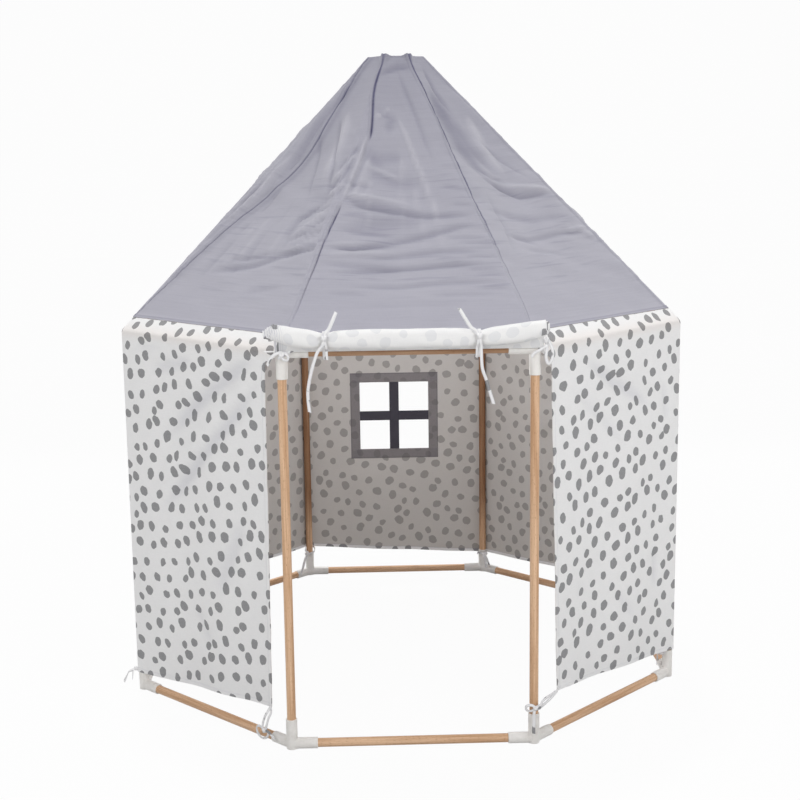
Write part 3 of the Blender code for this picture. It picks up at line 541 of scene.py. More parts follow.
def grid_normals(points, closed=False):
    """Unit normals of a grid of points, rows by columns, to the side that rows cross columns point to."""
    rows = np.gradient(points, axis=0)
    if closed:
        columns = (np.roll(points, -1, axis=1) - np.roll(points, 1, axis=1)) / 2
    else:
        columns = np.gradient(points, axis=1)
    normals = np.cross(rows, columns)
    return normals / np.maximum(np.linalg.norm(normals, axis=2, keepdims=True), 1e-12)


def cloth_piece(
    name, points, uv, thickness, materials, kept=None, seam=None, closed=False, uv_after=None, capped=False,
    turned=None, hemmed=None,
):
    """A closed thin sheet about a grid of middle points, with its outer, inner and rim faces.

    thickness is a number or a grid. uv gives each point's place on the flat cloth in metres, and uv_after
    the place of the next column's point as seen from this column's cell. seam is a grid of shade for
    stitching and of painted shade for folds, and below 0 of painted highlights and painted warm shade. The
    outer faces take the first material and the inner ones the second, except in the turned cells, where the
    outside's print is folded in. The hemmed cells' outer faces take the second material. closed joins the
    last column to the first, and capped closes the last row with one face on each side.
    """
    rows, columns = points.shape[:2]
    half = np.broadcast_to(np.asarray(thickness, float), (rows, columns))[..., None] / 2
    out = grid_normals(points, closed) * half
    vertices = np.concatenate([(points + out).reshape(-1, 3), (points - out).reshape(-1, 3)])
    layer = rows * columns
    cells = np.ones((rows - 1, columns if closed else columns - 1), bool)
    if kept is not None:
        cells &= kept
    row, column = np.nonzero(cells)
    after = (column + 1) % columns
    steps = ((0, column), (1, column), (1, after), (0, after))
    around = [(row + step) * columns + place for step, place in steps]
    if uv_after is None:
        uv_after = np.roll(uv, -1, axis=1)
    flat = [uv[row, column], uv[row + 1, column], uv_after[row + 1, column], uv_after[row, column]]
    back = (0, 3, 2, 1)
    outer, inner = np.stack(around, 1), np.stack([around[n] for n in back], 1) + layer
    faces, places = [outer, inner], [np.stack(flat, 1), np.stack([flat[n] for n in back], 1)]
    padded = np.pad(cells, ((1, 1), (0, 0)) if closed else 1)
    shift = 0 if closed else 1
    for edge, (row_step, column_step) in enumerate(((0, -1), (1, 0), (0, 1), (-1, 0))):
        beside = (column + shift + column_step) % padded.shape[1]
        free = ~padded[row + 1 + row_step, beside]
        if capped and row_step == 1:
            free &= row + 2 < rows
        first, second = around[edge][free], around[(edge + 1) % 4][free]
        near, far = flat[edge][free], flat[(edge + 1) % 4][free]
        faces.append(np.stack([second, first, first + layer, second + layer], 1))
        places.append(np.stack([far, near, near, far], 1))
    quads, corners = np.concatenate(faces), np.concatenate(places)
    used = np.unique(quads)
    place = np.full(len(vertices), -1)
    place[used] = np.arange(len(used))
    polygons = place[quads].tolist()
    flat_places = corners.reshape(-1, 2)
    kinds = np.zeros(len(quads), np.int32)
    if len(materials) > 1:
        kinds[len(outer):2 * len(outer)] = 1 if turned is None else np.where(turned[row, column], 0, 1)
    if hemmed is not None:
        kinds[:len(outer)] = np.where(hemmed[row, column], 1, 0)
    if capped:
        last = (rows - 1) * columns + np.arange(columns)
        polygons += [place[last[::-1]].tolist(), place[last + layer].tolist()]
        flat_places = np.concatenate([flat_places, uv[-1][::-1], uv[-1]])
        kinds = np.append(kinds, (0, 0)).astype(np.int32)
    mesh = bpy.data.meshes.new(name)
    mesh.from_pydata(vertices[used].tolist(), [], polygons)
    mesh.polygons.foreach_set("material_index", kinds)
    mesh.uv_layers.new(name="Cloth").data.foreach_set("uv", flat_places.astype(np.float32).ravel())
    shade = np.zeros((rows, columns)) if seam is None else seam
    values = np.concatenate([shade.reshape(-1)] * 2)[used]
    mesh.attributes.new("seam", "FLOAT", "POINT").data.foreach_set("value", values.astype(np.float32))
    mesh.update()
    return finished_piece(name, mesh, materials, smooth=True, sharp=50)


def waves(seed, count, shortest, longest):
    """A repeatable soft relief over the flat cloth, from -1 to 1 or so: a sum of long slanting waves."""
    pick = random.Random(seed)
    terms = []
    while len(terms) < count:
        length = math.exp(pick.uniform(math.log(shortest), math.log(longest)))
        angle = pick.uniform(0, math.pi)
        phase = pick.uniform(0, 2 * math.pi)
        terms.append((2 * math.pi / length, math.cos(angle), math.sin(angle), phase, length))
    total = sum(term[4] for term in terms)

    def relief(u, v):
        value = np.zeros(np.broadcast(u, v).shape)
        for rate, x, y, phase, length in terms:
            value = value + length / total * np.sin(rate * (x * u + y * v) + phase)
        return value * math.sqrt(count) * 0.9

    return relief


def ridge_columns(width, near, count):
    """Places across a gore of this width: close together beside its seams, evenly spaced between."""
    near = [min(place, width * 0.12 * (n + 1)) for n, place in enumerate(near)]
    inner = np.linspace(near[-1], width - near[-1], count)
    far = [width - place for place in reversed(near[:-1])]
    return np.concatenate([[0.0], near[:-1], inner, far, [width]])


# The frame: rods and connectors

ROD_FACETS, ROD_SPANS, ROD_EASE = 32, 6, 0.0012
CONNECTOR_SHARP = 42
# How far past the socket's mouth a bore is cut, and how much thicker sockets and ball are before they melt
BORE_BEYOND, SOCKET_SWELL, BALL_SWELL = 0.012, 0.00035, 0.0004
# The hub: its disc's radii below and above, depth and bottom, and its sockets' reach
DISC_LOW, DISC_HIGH, DISC_DEPTH, DISC_BOTTOM = 0.088, 0.066, 0.036, -0.0195
HUB_SOCKET, HUB_BORE_END = (-0.004, 0.045), 0.057


def rod_piece(name, start, end, hint, material, seed):
    """A round rod between two points, with eased ends and the grain along it."""
    along = end - start
    turn = Matrix.Translation(start) @ turned_to(along, hint)
    length = along.length
    eased = ROD_RADIUS - ROD_EASE
    stations = [(0, eased), (ROD_EASE, ROD_RADIUS)]
    stations += [(length * step / ROD_SPANS, ROD_RADIUS) for step in range(1, ROD_SPANS)]
    stations += [(length - ROD_EASE, ROD_RADIUS), (length, eased)]
    shift = random.Random(seed).uniform(0, 40)
    bm = bmesh.new()
    layer = bm.loops.layers.uv.new("Grain")
    angles = [2 * math.pi * facet / ROD_FACETS for facet in range(ROD_FACETS)]
    rings = []
    for z, radius in stations:
        ring = [Vector((radius * math.cos(angle), radius * math.sin(angle), z)) for angle in angles]
        rings.append([bm.verts.new(turn @ place) for place in ring])
    girth = 2 * math.pi * ROD_RADIUS
    for row, (low, high) in enumerate(zip(rings, rings[1:])):
        for facet in range(ROD_FACETS):
            after = (facet + 1) % ROD_FACETS
            face = bm.faces.new((low[facet], low[after], high[after], high[facet]))
            for loop, across, level in zip(face.loops, (0, 1, 1, 0), (0, 0, 1, 1)):
                around = girth * (facet + across) / ROD_FACETS
                loop[layer].uv = (shift + around, stations[row + level][0] + shift)
    for ring, z in ((list(reversed(rings[0])), 0), (rings[-1], length)):
        face = bm.faces.new(ring)
        for loop in face.loops:
            loop[layer].uv = (shift + loop.vert.co.x, z + loop.vert.co.y)
    rod = finished_piece(f"rod_{name}", mesh_from(name, bm), [material], smooth=True, sharp=35)
    declare(rod, name)


def cone_mesh(low_radius, high_radius, depth, matrix, facets=48):
    bm = bmesh.new()
    bmesh.ops.create_cone(
        bm, cap_ends=True, segments=facets, radius1=low_radius, radius2=high_radius, depth=depth,
        matrix=matrix,
    )
    return mesh_from("cone", bm)


def tube_mesh(radius, start, end, turn):
    return cone_mesh(radius, radius, end - start, turn @ Matrix.Translation((0, 0, (start + end) / 2)))


def moulded(name, solids, bores, foot=None, voxel=0.0011, keep=0.30):
    """The solids melted into one moulded body with soft inner corners, then bored."""
    bm = bmesh.new()
    for mesh in solids:
        bm.from_mesh(mesh)
    thing = bpy.data.objects.new(name, mesh_from(name, bm))
    bpy.context.scene.collection.objects.link(thing)

    def step(kind, **settings):
        modifier = thing.modifiers.new(kind, kind)
        for key, value in settings.items():
            setattr(modifier, key, value)

    step("REMESH", mode="VOXEL", voxel_size=voxel)
    step("SMOOTH", iterations=9, factor=0.5)
    step("DECIMATE", ratio=keep)
    helpers = []
    for mesh in bores:
        helper = bpy.data.objects.new("bore", mesh)
        bpy.context.scene.collection.objects.link(helper)
        helpers.append(helper)
        step("BOOLEAN", operation="DIFFERENCE", solver="EXACT", object=helper)
    seen = thing.evaluated_get(bpy.context.evaluated_depsgraph_get())
    result = bpy.data.meshes.new_from_object(seen)
    for item in (thing, *helpers):
        bpy.data.objects.remove(item, do_unlink=True)
    if foot is not None:
        bm = bmesh.new()
        bm.from_mesh(result)
        cut = bmesh.ops.bisect_plane(
            bm, geom=[*bm.verts, *bm.edges, *bm.faces], plane_co=(0, 0, foot), plane_no=(0, 0, -1),
            clear_outer=True,
        )
        edges = [item for item in cut["geom_cut"] if isinstance(item, bmesh.types.BMEdge)]
        bmesh.ops.contextual_create(bm, geom=edges)
        bm.to_mesh(result)
        bm.free()
    result.name = name
    return result


def rail_turns():
    """The turns of the two level sockets, seen from a corner whose outward direction is +X."""
    return [
        turned_to(Vector((-math.sin(HALF_STEP), across * math.cos(HALF_STEP), 0)), UP)
        for across in (-1, 1)
    ]


def hub_turn(corner):
    outward = corner_direction(corner)
    down = math.cos(ROOF_PITCH) * outward - math.sin(ROOF_PITCH) * UP
    return Matrix.Translation(HUB_RADIUS * outward) @ turned_to(down, UP)


def socket_mesh(turn):
    return tube_mesh(SOCKET_RADIUS + SOCKET_SWELL, 0, SOCKET_REACH, turn)


def bore_mesh(turn):
    return tube_mesh(BORE_RADIUS, SOCKET_FLOOR, SOCKET_REACH + BORE_BEYOND, turn)


def connector(name, mesh, node, matrix, plastic):
    piece = finished_piece(f"connector_{name}", mesh, [plastic], matrix, smooth=True, sharp=CONNECTOR_SHARP)
    declare(piece, node)


def make_connectors(plastic):
    upright = turned_to(UP, Vector((1, 0, 0)))
    downward = turned_to(-UP, Vector((1, 0, 0)))
    roof = turned_to(Vector((-math.cos(ROOF_PITCH), 0, math.sin(ROOF_PITCH))), UP)
    rails = rail_turns()
    ball = bmesh.new()
    bmesh.ops.create_icosphere(ball, subdivisions=4, radius=CORE_RADIUS + BALL_SWELL)
    base = moulded(
        "base_connector",
        [tube_mesh(CORE_RADIUS, -CORE_RADIUS, SOCKET_REACH, upright), *map(socket_mesh, rails)],
        [bore_mesh(turn) for turn in (upright, *rails)],
        foot=-BASE_HEIGHT,
    )
    turns = (downward, roof, *rails)
    ball = mesh_from("ball", ball)
    eave = moulded("eave_connector", [ball, *map(socket_mesh, turns)], map(bore_mesh, turns))
    for corner, name in enumerate(CORNERS):
        outward = corner_direction(corner)
        turn = Matrix((outward, UP.cross(outward), UP)).transposed().to_4x4()
        for prefix, mesh, height in (("base_corner", base, BASE_HEIGHT), ("eave_corner", eave, EAVE_HEIGHT)):
            matrix = Matrix.Translation(node_at(corner, height)) @ turn
            connector(f"{prefix}_{name}", mesh, f"{prefix}_{name}", matrix, plastic)


def make_hub(plastic):
    middle = Matrix.Translation((0, 0, DISC_BOTTOM + DISC_DEPTH / 2))
    disc = cone_mesh(DISC_LOW, DISC_HIGH, DISC_DEPTH, middle, facets=64)
    turns = [hub_turn(corner) for corner in range(COUNT)]
    hub = moulded(
        "roof_connector",
        [disc, *(tube_mesh(SOCKET_RADIUS, *HUB_SOCKET, turn) for turn in turns)],
        [tube_mesh(BORE_RADIUS, -FIT_GAP, HUB_BORE_END, turn) for turn in turns],
        voxel=0.0016,
        keep=0.25,
    )
    connector("roof_hub", hub, "roof_hub", Matrix.Translation(CENTRE + HUB_HEIGHT * UP), plastic)


def make_rods(wood):
    seat = SOCKET_FLOOR + FIT_GAP

    def between(start, end, short_of_end=seat):
        along = (end - start).normalized()
        return start + seat * along, end - short_of_end * along

    for place in range(COUNT):
        for prefix, height in (("base_rail", BASE_HEIGHT), ("eave_rail", EAVE_HEIGHT)):
            ends = between(node_at(place, height), node_at(place + 1, height))
            rod_piece(f"{prefix}_{SIDES[place]}", *ends, UP, wood, f"{prefix}{place}")
        ends = between(node_at(place, BASE_HEIGHT), node_at(place, EAVE_HEIGHT))
        rod_piece(f"post_{CORNERS[place]}", *ends, corner_direction(place), wood, f"post{place}")
        top = CENTRE + HUB_RADIUS * corner_direction(place) + HUB_HEIGHT * UP
        ends = between(node_at(place, EAVE_HEIGHT), top, 0)
        rod_piece(f"roof_pole_{CORNERS[place]}", *ends, UP, wood, f"pole{place}")


# The grey roof

SEEN_GORES = (FRONT_SIDE, 0, 6)
GORE_INNER_COLUMNS, SEEN_INNER_COLUMNS = 27, 46
# The gore's width at the seam and at the top, and the share of the crown's radius at each of its rows
GORE_WIDTH, GORE_TOP_WIDTH = 0.612, 0.066
CROWN_SHARES = (0.86, 0.66, 0.42, 0.18, 0.02)
# How far apart the gores lie on the flat map that the weave and the relief use
GORE_SHIFT = 0.7
RIDGE_STEPS = (0.0012, 0.0024, 0.0050, 0.0085, 0.0105)
TOP_DISTANCE = COVER_TOP_RADIUS * math.cos(HALF_STEP)
TOP_HEIGHT = FOLD_HEIGHT + (WALL_DISTANCE - TOP_DISTANCE) * math.tan(GORE_PITCH)
ROOF_MIDDLE = CLOTH_SPACE / 2

# Creases of a gore, all in millimetres: width, height (less than 0 for a groove) and places as (across, up)
# from the middle of the seam. Across runs to the left when the gore is seen from outside.
FRONT_CREASES = (
    (5.5, 3.4, (85, 634), (110, 534), (145, 430), (158, 397)),
    (6, 3, (73, 585), (96, 496), (127, 416)),
    (4.5, -1.2, (84, 578), (106, 503), (135, 426)),
    (7, -2.2, (155, 407), (95, 393), (2, 374)),
    (6, 3, (142, 433), (77, 422)),
    (5.5, -2.4, (193, 266), (129, 258), (6, 275)),
    (4.5, 2.4, (188, 278), (119, 274), (15, 291)),
    (9, -2.2, (206, 216), (135, 205), (8, 200)),
    (6, 2.4, (201, 238), (130, 246), (11, 250)),
    (10, -2.4, (166, 326), (104, 312), (10, 303)),
    (14, -2, (83, 602), (74, 550), (44, 522)),
    (8, 2.6, (80, 530), (39, 508), (-1, 487)),
    (8, -3.4, (102, 599), (131, 558), (167, 511)),
    (9, -4, (120, 551), (154, 490), (193, 434)),
    (7, -4.4, (145, 456), (200, 411), (265, 354), (295, 296)),
    (5, -3, (163, 404), (218, 382), (265, 354)),
    (6, -3.6, (180, 371), (238, 314), (294, 284)),
    (6, -3.4, (193, 333), (250, 280), (299, 255)),
    (6, 3.4, (112, 578), (147, 517), (183, 464)),
    (6, 3, (139, 497), (183, 424), (233, 389)),
    (6, 3.4, (183, 391), (228, 346), (277, 302)),
    (5, 2.8, (203, 346), (250, 302)),
    (10, -4.4, (152, 425), (106, 404), (17, 385), (-63, 366), (-190, 360)),
    (6, 2.2, (140, 438), (80, 425), (-20, 408)),
    (10, -4.6, (190, 258), (127, 262), (32, 284), (-53, 302), (-141, 325), (-195, 328)),
    (26, -3, (150, 325), (30, 345), (-60, 352)),
    (5.5, -2.4, (-100, 292), (-205, 288)),
    (5, -2.2, (-135, 275), (-215, 270)),
    (5, -1.8, (-165, 257), (-220, 255)),
    (9, -3.4, (110, 226), (-80, 248), (-213, 243)),
    (5, -2.2, (-140, 226), (-230, 229)),
    (8, -4.2, (188, 182), (109, 189), (15, 197), (-101, 203), (-214, 203)),
    (5, -2, (-150, 188), (-228, 189)),
    (5, -1.6, (-170, 173), (-234, 174)),
    (6.5, -2.8, (150, 143), (17, 139), (-39, 145), (-124, 150), (-243, 150)),
    (5, -1.8, (190, 120), (90, 118)),
    (5, -1.8, (-170, 131), (-246, 130)),
    (6, -1.7, (-52, 111), (-226, 113)),
    (9, -1.2, (129, 82), (-147, 85)),
    (4.5, 3.4, (6, 712), (-11, 657), (-33, 573), (-74, 416), (-92, 342), (-99, 239)),
    (4.2, 2.4, (1, 597), (-5, 535), (-1, 481), (10, 265), (5, 184)),
    (4.2, 1.8, (75, 560), (85, 430), (90, 300)),
    (4.2, 1.8, (-30, 480), (-45, 350), (-50, 230)),
    (6, -2.4, (1, 878), (-19, 794), (-45, 696), (-67, 606), (-83, 544)),
    (5, 3, (64, 700), (24, 738)),
    (12, -3.4, (60, 735), (20, 700), (30, 640)),
    (18, -3, (95, 570), (60, 556), (-10, 560)),
    (22, -2.6, (100, 520), (20, 480), (-50, 470)),
    (10, -4, (49, 855), (-3, 885), (-38, 880)),
    (9, -2.6, (150, 470), (70, 455)),
    (7, -1.8, (-100, 460), (-168, 440)),
    (6, -1.8, (-120, 400), (-180, 392)),
)
LEFT_CREASES = (
    (8, -3.4, (-154, 599), (-142, 558), (-123, 510)),
    (9, -4, (-161, 551), (-154, 490), (-139, 433)),
    (7, -4.4, (-191, 457), (-144, 410), (-91, 348), (-88, 289)),
    (5, -3, (-202, 405), (-139, 380), (-91, 348)),
    (6, -3.6, (-199, 372), (-157, 312), (-97, 276)),
    (6, -3.4, (-207, 333), (-164, 276), (-111, 248)),
    (4.5, -2.4, (-220, 263), (-173, 248), (-113, 228)),
    (6, 3.4, (-153, 579), (-147, 517), (-133, 463)),
    (6, 3, (-171, 497), (-160, 423), (-113, 386)),
    (6, 3.4, (-182, 391), (-149, 344), (-109, 296)),
    (5, 2.8, (-185, 345), (-148, 298)),
    (4.5, 2.6, (-203, 288), (-133, 252)),
    (4, -2.4, (-15, 686), (-70, 583), (-129, 463)),
    (7, -2.6, (-185, 322), (-151, 284)),
    (6, 2.8, (-205, 336), (-153, 266), (-104, 247)),
    (11, -4.2, (-222, 260), (-118, 236), (-40, 202), (110, 165)),
    (8, -2.8, (-87, 246), (-12, 223), (87, 208)),
    (10, -1.6, (-191, 140), (-57, 110)),
    (5.5, -2.6, (12, 723), (-107, 524), (-147, 424)),
    (6, -2.6, (47, 667), (-33, 513), (-75, 418)),
    (16, 3.6, (-20, 720), (-70, 600), (-100, 480)),
    (5, -2.2, (53, 471), (79, 364)),
    (4.5, -2.2, (-29, 420), (10, 235), (47, 150)),
    (4.5, -2.2, (83, 360), (107, 253), (141, 140)),
    (5, -2, (-86, 400), (-100, 246)),
    (4.5, 2.2, (23, 360), (44, 180)),
    (4.5, 2, (55, 340), (80, 170)),
    (4.5, 1.8, (-60, 330), (-55, 210)),
    (8, -3, (20, 860), (50, 700), (62, 560), (75, 470)),
    (7, 3.8, (80, 560), (110, 440), (165, 330)),
    (5, -2.6, (120, 480), (150, 390), (186, 320)),
)
RIGHT_CREASES = (
    (28, -8, (36, 800), (58, 687), (70, 598), (60, 480)),
    (20, -3.4, (20, 700), (30, 600), (0, 500)),
    (6, -2.4, (58, 525), (30, 490), (-18, 478)),
    (9, -4, (70, 488), (1, 445), (-36, 422), (-160, 412)),
    (7, 3.6, (0, 465), (-80, 446), (-158, 430)),
    (15, -3, (144, 376), (-7, 336), (-166, 335)),
    (8, -3, (135, 293), (60, 272), (-87, 281), (-198, 284)),
    (6, 2.4, (-110, 290), (-200, 294)),
    (6, -2.2, (128, 287), (37, 256)),
    (6, -1.8, (108, 242), (-39, 215)),
    (9, 3, (-160, 300), (-205, 250)),
    (14, 3.4, (-40, 700), (-20, 600), (-30, 500)),
    (8, -3, (4, 880), (20, 800), (12, 720)),
    (5.5, -1.8, (-10, 640), (-60, 540), (-110, 470)),
    (5.5, -1.8, (100, 440), (120, 330), (160, 230)),
)
# How far a gore's second seam lies before the pole, as (up, distance), where the cover sits twisted
SEAM_DRIFT = {
    FRONT_SIDE: (
        (0, 0), (0.06, 0.011), (0.30, 0.017), (0.40, 0.027), (0.50, 0.036), (0.63, 0.040), (0.70, 0.026),
        (0.78, 0.006), (0.84, 0),
    ),
    6: (
        (0, 0), (0.04, 0.014), (0.15, 0.013), (0.33, 0.009), (0.45, 0.004), (0.57, 0.004), (0.68, 0.010),
        (0.78, 0.005), (0.86, 0),
    ),
    0: (
        (0, 0), (0.12, 0.018), (0.24, 0.037), (0.32, 0.054), (0.41, 0.078), (0.50, 0.097), (0.60, 0.088),
        (0.70, 0.062), (0.80, 0.030), (0.88, 0.008), (0.93, 0),
    ),
}
# How strongly and how widely each corner's seam is drawn in, as (up, strength, width)
SEAM_LOOK = {
    0: ((0, 0.22, 0.0012), (0.15, 0.32, 0.0012), (0.22, 0.6, 0.0014), (0.27, 0.95, 0.0018),
        (0.36, 1, 0.0019), (0.385, 0.5, 0.0014), (0.40, 0, 0.0014), (0.62, 0, 0.0020),
        (0.645, 1, 0.0032), (0.86, 1, 0.0028), (0.92, 0.5, 0.0016)),
    1: ((0, 0.4, 0.0014), (0.2, 0.5, 0.0020), (0.8, 0.6, 0.0024), (0.92, 0.45, 0.0020)),
    7: ((0, 0.25, 0.0012), (0.16, 0.30, 0.0012), (0.27, 0.55, 0.0014), (0.35, 0.9, 0.0018),
        (0.45, 1, 0.0021), (0.86, 1, 0.0023), (0.93, 0.6, 0.0018)),
}
PLAIN_SEAM = ((0, 0.6, 0.0014), (1, 0.6, 0.0014))
# The height of the little ear that each corner of the top makes over its pole
TOP_EARS = (0.0110, 0.0, 0.002, 0.005, 0.005, 0.002, 0.0, 0.0105)
# Columns beyond a drifted seam, and the gores whose seam drifts so little that its columns stay at the edge
DRIFT_BEYOND = 10
SLIGHT_DRIFTS = (6,)
# Heights of the soft relief and of the puckers by the seams, how far the puckers reach, and how far from a
# seam the creases come to their full height
RELIEF_HEIGHT, PUCKER_HEIGHT, PUCKER_REACH, CREASE_START = 0.0022, 0.0016, 0.030, 0.006
# Creases are drawn this much deeper than the tables say, and given painted shade and painted highlights by
# their
# height. A groove stays above the poles: it may be this deep beside a seam, and this much deeper with each
# metre from it.
CREASE_DEPTH, CREASE_SHADE, CREASE_LIGHT = 1.45, 0.27, 0.60
GROOVE_LIMIT, GROOVE_SLOPE, GROOVE_START = 0.0015, 0.55, 0.008
# A groove this deep gets the full painted shade and a ridge this high the full painted highlight, and gores
# out of sight get this share of both
DARK_GROOVE, BRIGHT_RIDGE, UNSEEN_STRENGTH = 0.007, 0.005, 0.45
# A felled seam: where its lap starts and ends, the lap's height, and the depth and width of its line
LAP_START, LAP_END, LAP_HEIGHT, LINE_DEPTH, LINE_WIDTH = 0.0018, 0.0095, 0.0010, 0.0018, 0.0014
STITCH_WIDTH, STITCH_SHADE = 0.0012, 0.15
# Cloth beyond a drifted seam: its swell as a share of the drift, and the height and length of its streaks
DRIFT_SWELL, STREAK_HEIGHT, STREAK_LENGTH, STREAK_DRIFT = 0.12, 0.0012, 0.026, 0.02
# The dark band before the front left gore's second seam
BAND_PLACE, BAND_WIDTH, BAND_SHADE = -0.014, 0.010, 0.20
# The roof's hem: its width, its rise, and the shade of its edge and of its stitches, as (up to, shade)
ROOF_HEM, ROOF_HEM_RISE, EDGE_LINE, STITCH_LINE = 0.0095, 0.0009, (0.0009, 0.55), (0.006, 0.24)
EAR_REACH, EAR_WIDTH, CROWN_EAR, CROWN_EAR_REACH, CROWN_EAR_WIDTH = 0.016, 0.012, 0.72, 0.22, 0.010
CROWN_RELIEF, CROWN_LINE_SHADE = 0.0006, 0.50
# Painted shade: how dark the cloth grows towards the top, as (up, shade)
TOP_SHADES = ((0, 0), (0.30, 0.015), (0.55, 0.07), (0.75, 0.14), (0.93, 0.24))
DRIFT_COLUMNS = (-0.0085, -0.0050, -0.0026, -0.0012, 0, 0.0012, 0.0026, 0.0050, 0.0085)


def seam_drift(side, up):
    ups, drifts = zip(*SEAM_DRIFT.get(side % COUNT, ((0, 0),)))
    return float(np.mean(np.interp(up + np.linspace(-0.03, 0.03, 11), ups, drifts)))


def seam_look(corner, up, away):
    """The shade of a corner's seam at this distance from its line."""
    ups, strengths, widths = zip(*SEAM_LOOK.get(corner % COUNT, PLAIN_SEAM))
    width = float(np.interp(up, ups, widths))
    return float(np.interp(up, ups, strengths)) * np.exp(-(away / width) ** 2)


def seam_share(corner, up):
    """How much of a corner's seam stands out from the cloth here, from 0 to 1."""
    ups, strengths = list(zip(*SEAM_LOOK.get(corner % COUNT, PLAIN_SEAM)))[:2]
    return min(1.0, 2.5 * float(np.interp(up, ups, strengths)))


def gore_columns(width, drift, inner, slight):
    """Places across a gore, close together beside its seams, also where the second one has drifted."""
    if drift is None:
        return ridge_columns(width, RIDGE_STEPS, inner + 1)
    plain = ridge_columns(width, RIDGE_STEPS, 3)
    if slight:
        line = width - max(drift, 0.0030)
        beside = [line - 0.0026, line - 0.0012, line, line + 0.0012, width]
        inside = np.linspace(plain[len(RIDGE_STEPS)], line - 0.0048, inner + 1)
        return np.concatenate([plain[:len(RIDGE_STEPS)], inside, beside])
    near = len(RIDGE_STEPS)
    start, stop = plain[near], plain[-near - 1]
    middle = width - max(drift, min(0.024, 0.36 * width))
    squeeze = min(1, (stop - middle) / 0.012, (middle - start) / 0.03)
    seam = [middle + squeeze * place for place in DRIFT_COLUMNS]
    spare = inner + 1 - len(seam)
    before = np.linspace(start, seam[0], spare - DRIFT_BEYOND + 1)[:-1]
    after = np.linspace(seam[-1], stop, DRIFT_BEYOND + 1)[1:]
    return np.concatenate([plain[:near], before, seam, after, plain[-near:]])


def crease_relief(x, y, creases):
    """The sum of rounded ridges and grooves along bent lines, each fading out at its ends."""
    total = np.zeros(np.broadcast(x, y).shape)
    for width, height, *spots in creases:
        width, height = width / 1000, height / 1000
        spots = [(across / 1000, up / 1000) for across, up in spots]
        spans = [math.dist(a, b) for a, b in zip(spots, spots[1:])]
        length, done = sum(spans), 0.0
        nearest, reached = np.full(total.shape, 1e9), np.zeros(total.shape)
        for (x0, y0), (x1, y1), span in zip(spots, spots[1:], spans):
            ux, uy = (x1 - x0) / span, (y1 - y0) / span
            along = (x - x0) * ux + (y - y0) * uy
            held = np.clip(along, 0, span)
            away = np.hypot(x - x0 - held * ux, y - y0 - held * uy)
            closer = away < nearest
            nearest, reached = np.where(closer, away, nearest), np.where(closer, done + along, reached)
            done += span
        fade = smooth_share(np.minimum(reached, length - reached) / (0.34 * length) + 0.22)
        total += height * fade * np.exp(-(nearest / (width * (0.5 + 0.5 * fade))) ** 2)
    return total


def spread_creases(seed, count, length_up):
    """Creases that fan in from the two ridges of a gore whose folds the photograph doesn't show."""
    pick = random.Random(seed)
    creases = []
    for number in range(count):
        up = length_up * (0.28 + 0.60 * (number + pick.random()) / count)
        half = 0.5 * GORE_WIDTH * (1 - up / (length_up + 0.06))
        hand = pick.choice((-1, 1))
        reach = pick.uniform(0.35, 0.95) * half
        drop = pick.uniform(0.02, 0.22)
        width = pick.uniform(8, 14)
        height = pick.uniform(2.2, 4.6) * pick.choice((-1, -1, 1))
        bend = pick.uniform(-0.02, 0.02)
        ends = (hand * half * 0.96, up), (hand * (half - reach), up - drop)
        middle = (ends[0][0] + ends[1][0]) / 2, (ends[0][1] + ends[1][1]) / 2 + bend
        spots = [(1000 * across, 1000 * height_up) for across, height_up in (ends[0], middle, ends[1])]
        creases.append((width, height, *spots))
    return creases


def roof_rows():
    """The cover's rows from its hem to the middle of its crown, and the length of its slope.

    A row is (way up, distance from the axis, height, share of the crown's radius or None on the slope).
    """
    start_gap = FIT_GAP / math.sin(GORE_PITCH)
    top = (WALL_DISTANCE - TOP_DISTANCE) / math.cos(GORE_PITCH) - SEAM_ABOVE_EAVE
    ups = [0.0, 0.0010, 0.0070, 0.0080, 0.0100]
    ups += [*np.linspace(0.019, 0.070, 7), *np.linspace(0.075, 0.600, 94)]
    ups += [*np.linspace(0.612, top - 0.004, 26), top - 0.0015, top]
    rows = []
    for up in ups:
        along = SEAM_ABOVE_EAVE + up + start_gap
        distance = WALL_DISTANCE - along * math.cos(GORE_PITCH)
        rows.append((up + start_gap, distance, FOLD_HEIGHT + along * math.sin(GORE_PITCH), None))
    for share in CROWN_SHARES:
        height = TOP_HEIGHT + COVER_TOP_DOME * (1 - share ** 2)
        rows.append((top + TOP_DISTANCE * (1 - share), TOP_DISTANCE * share, height, share))
    return rows, top


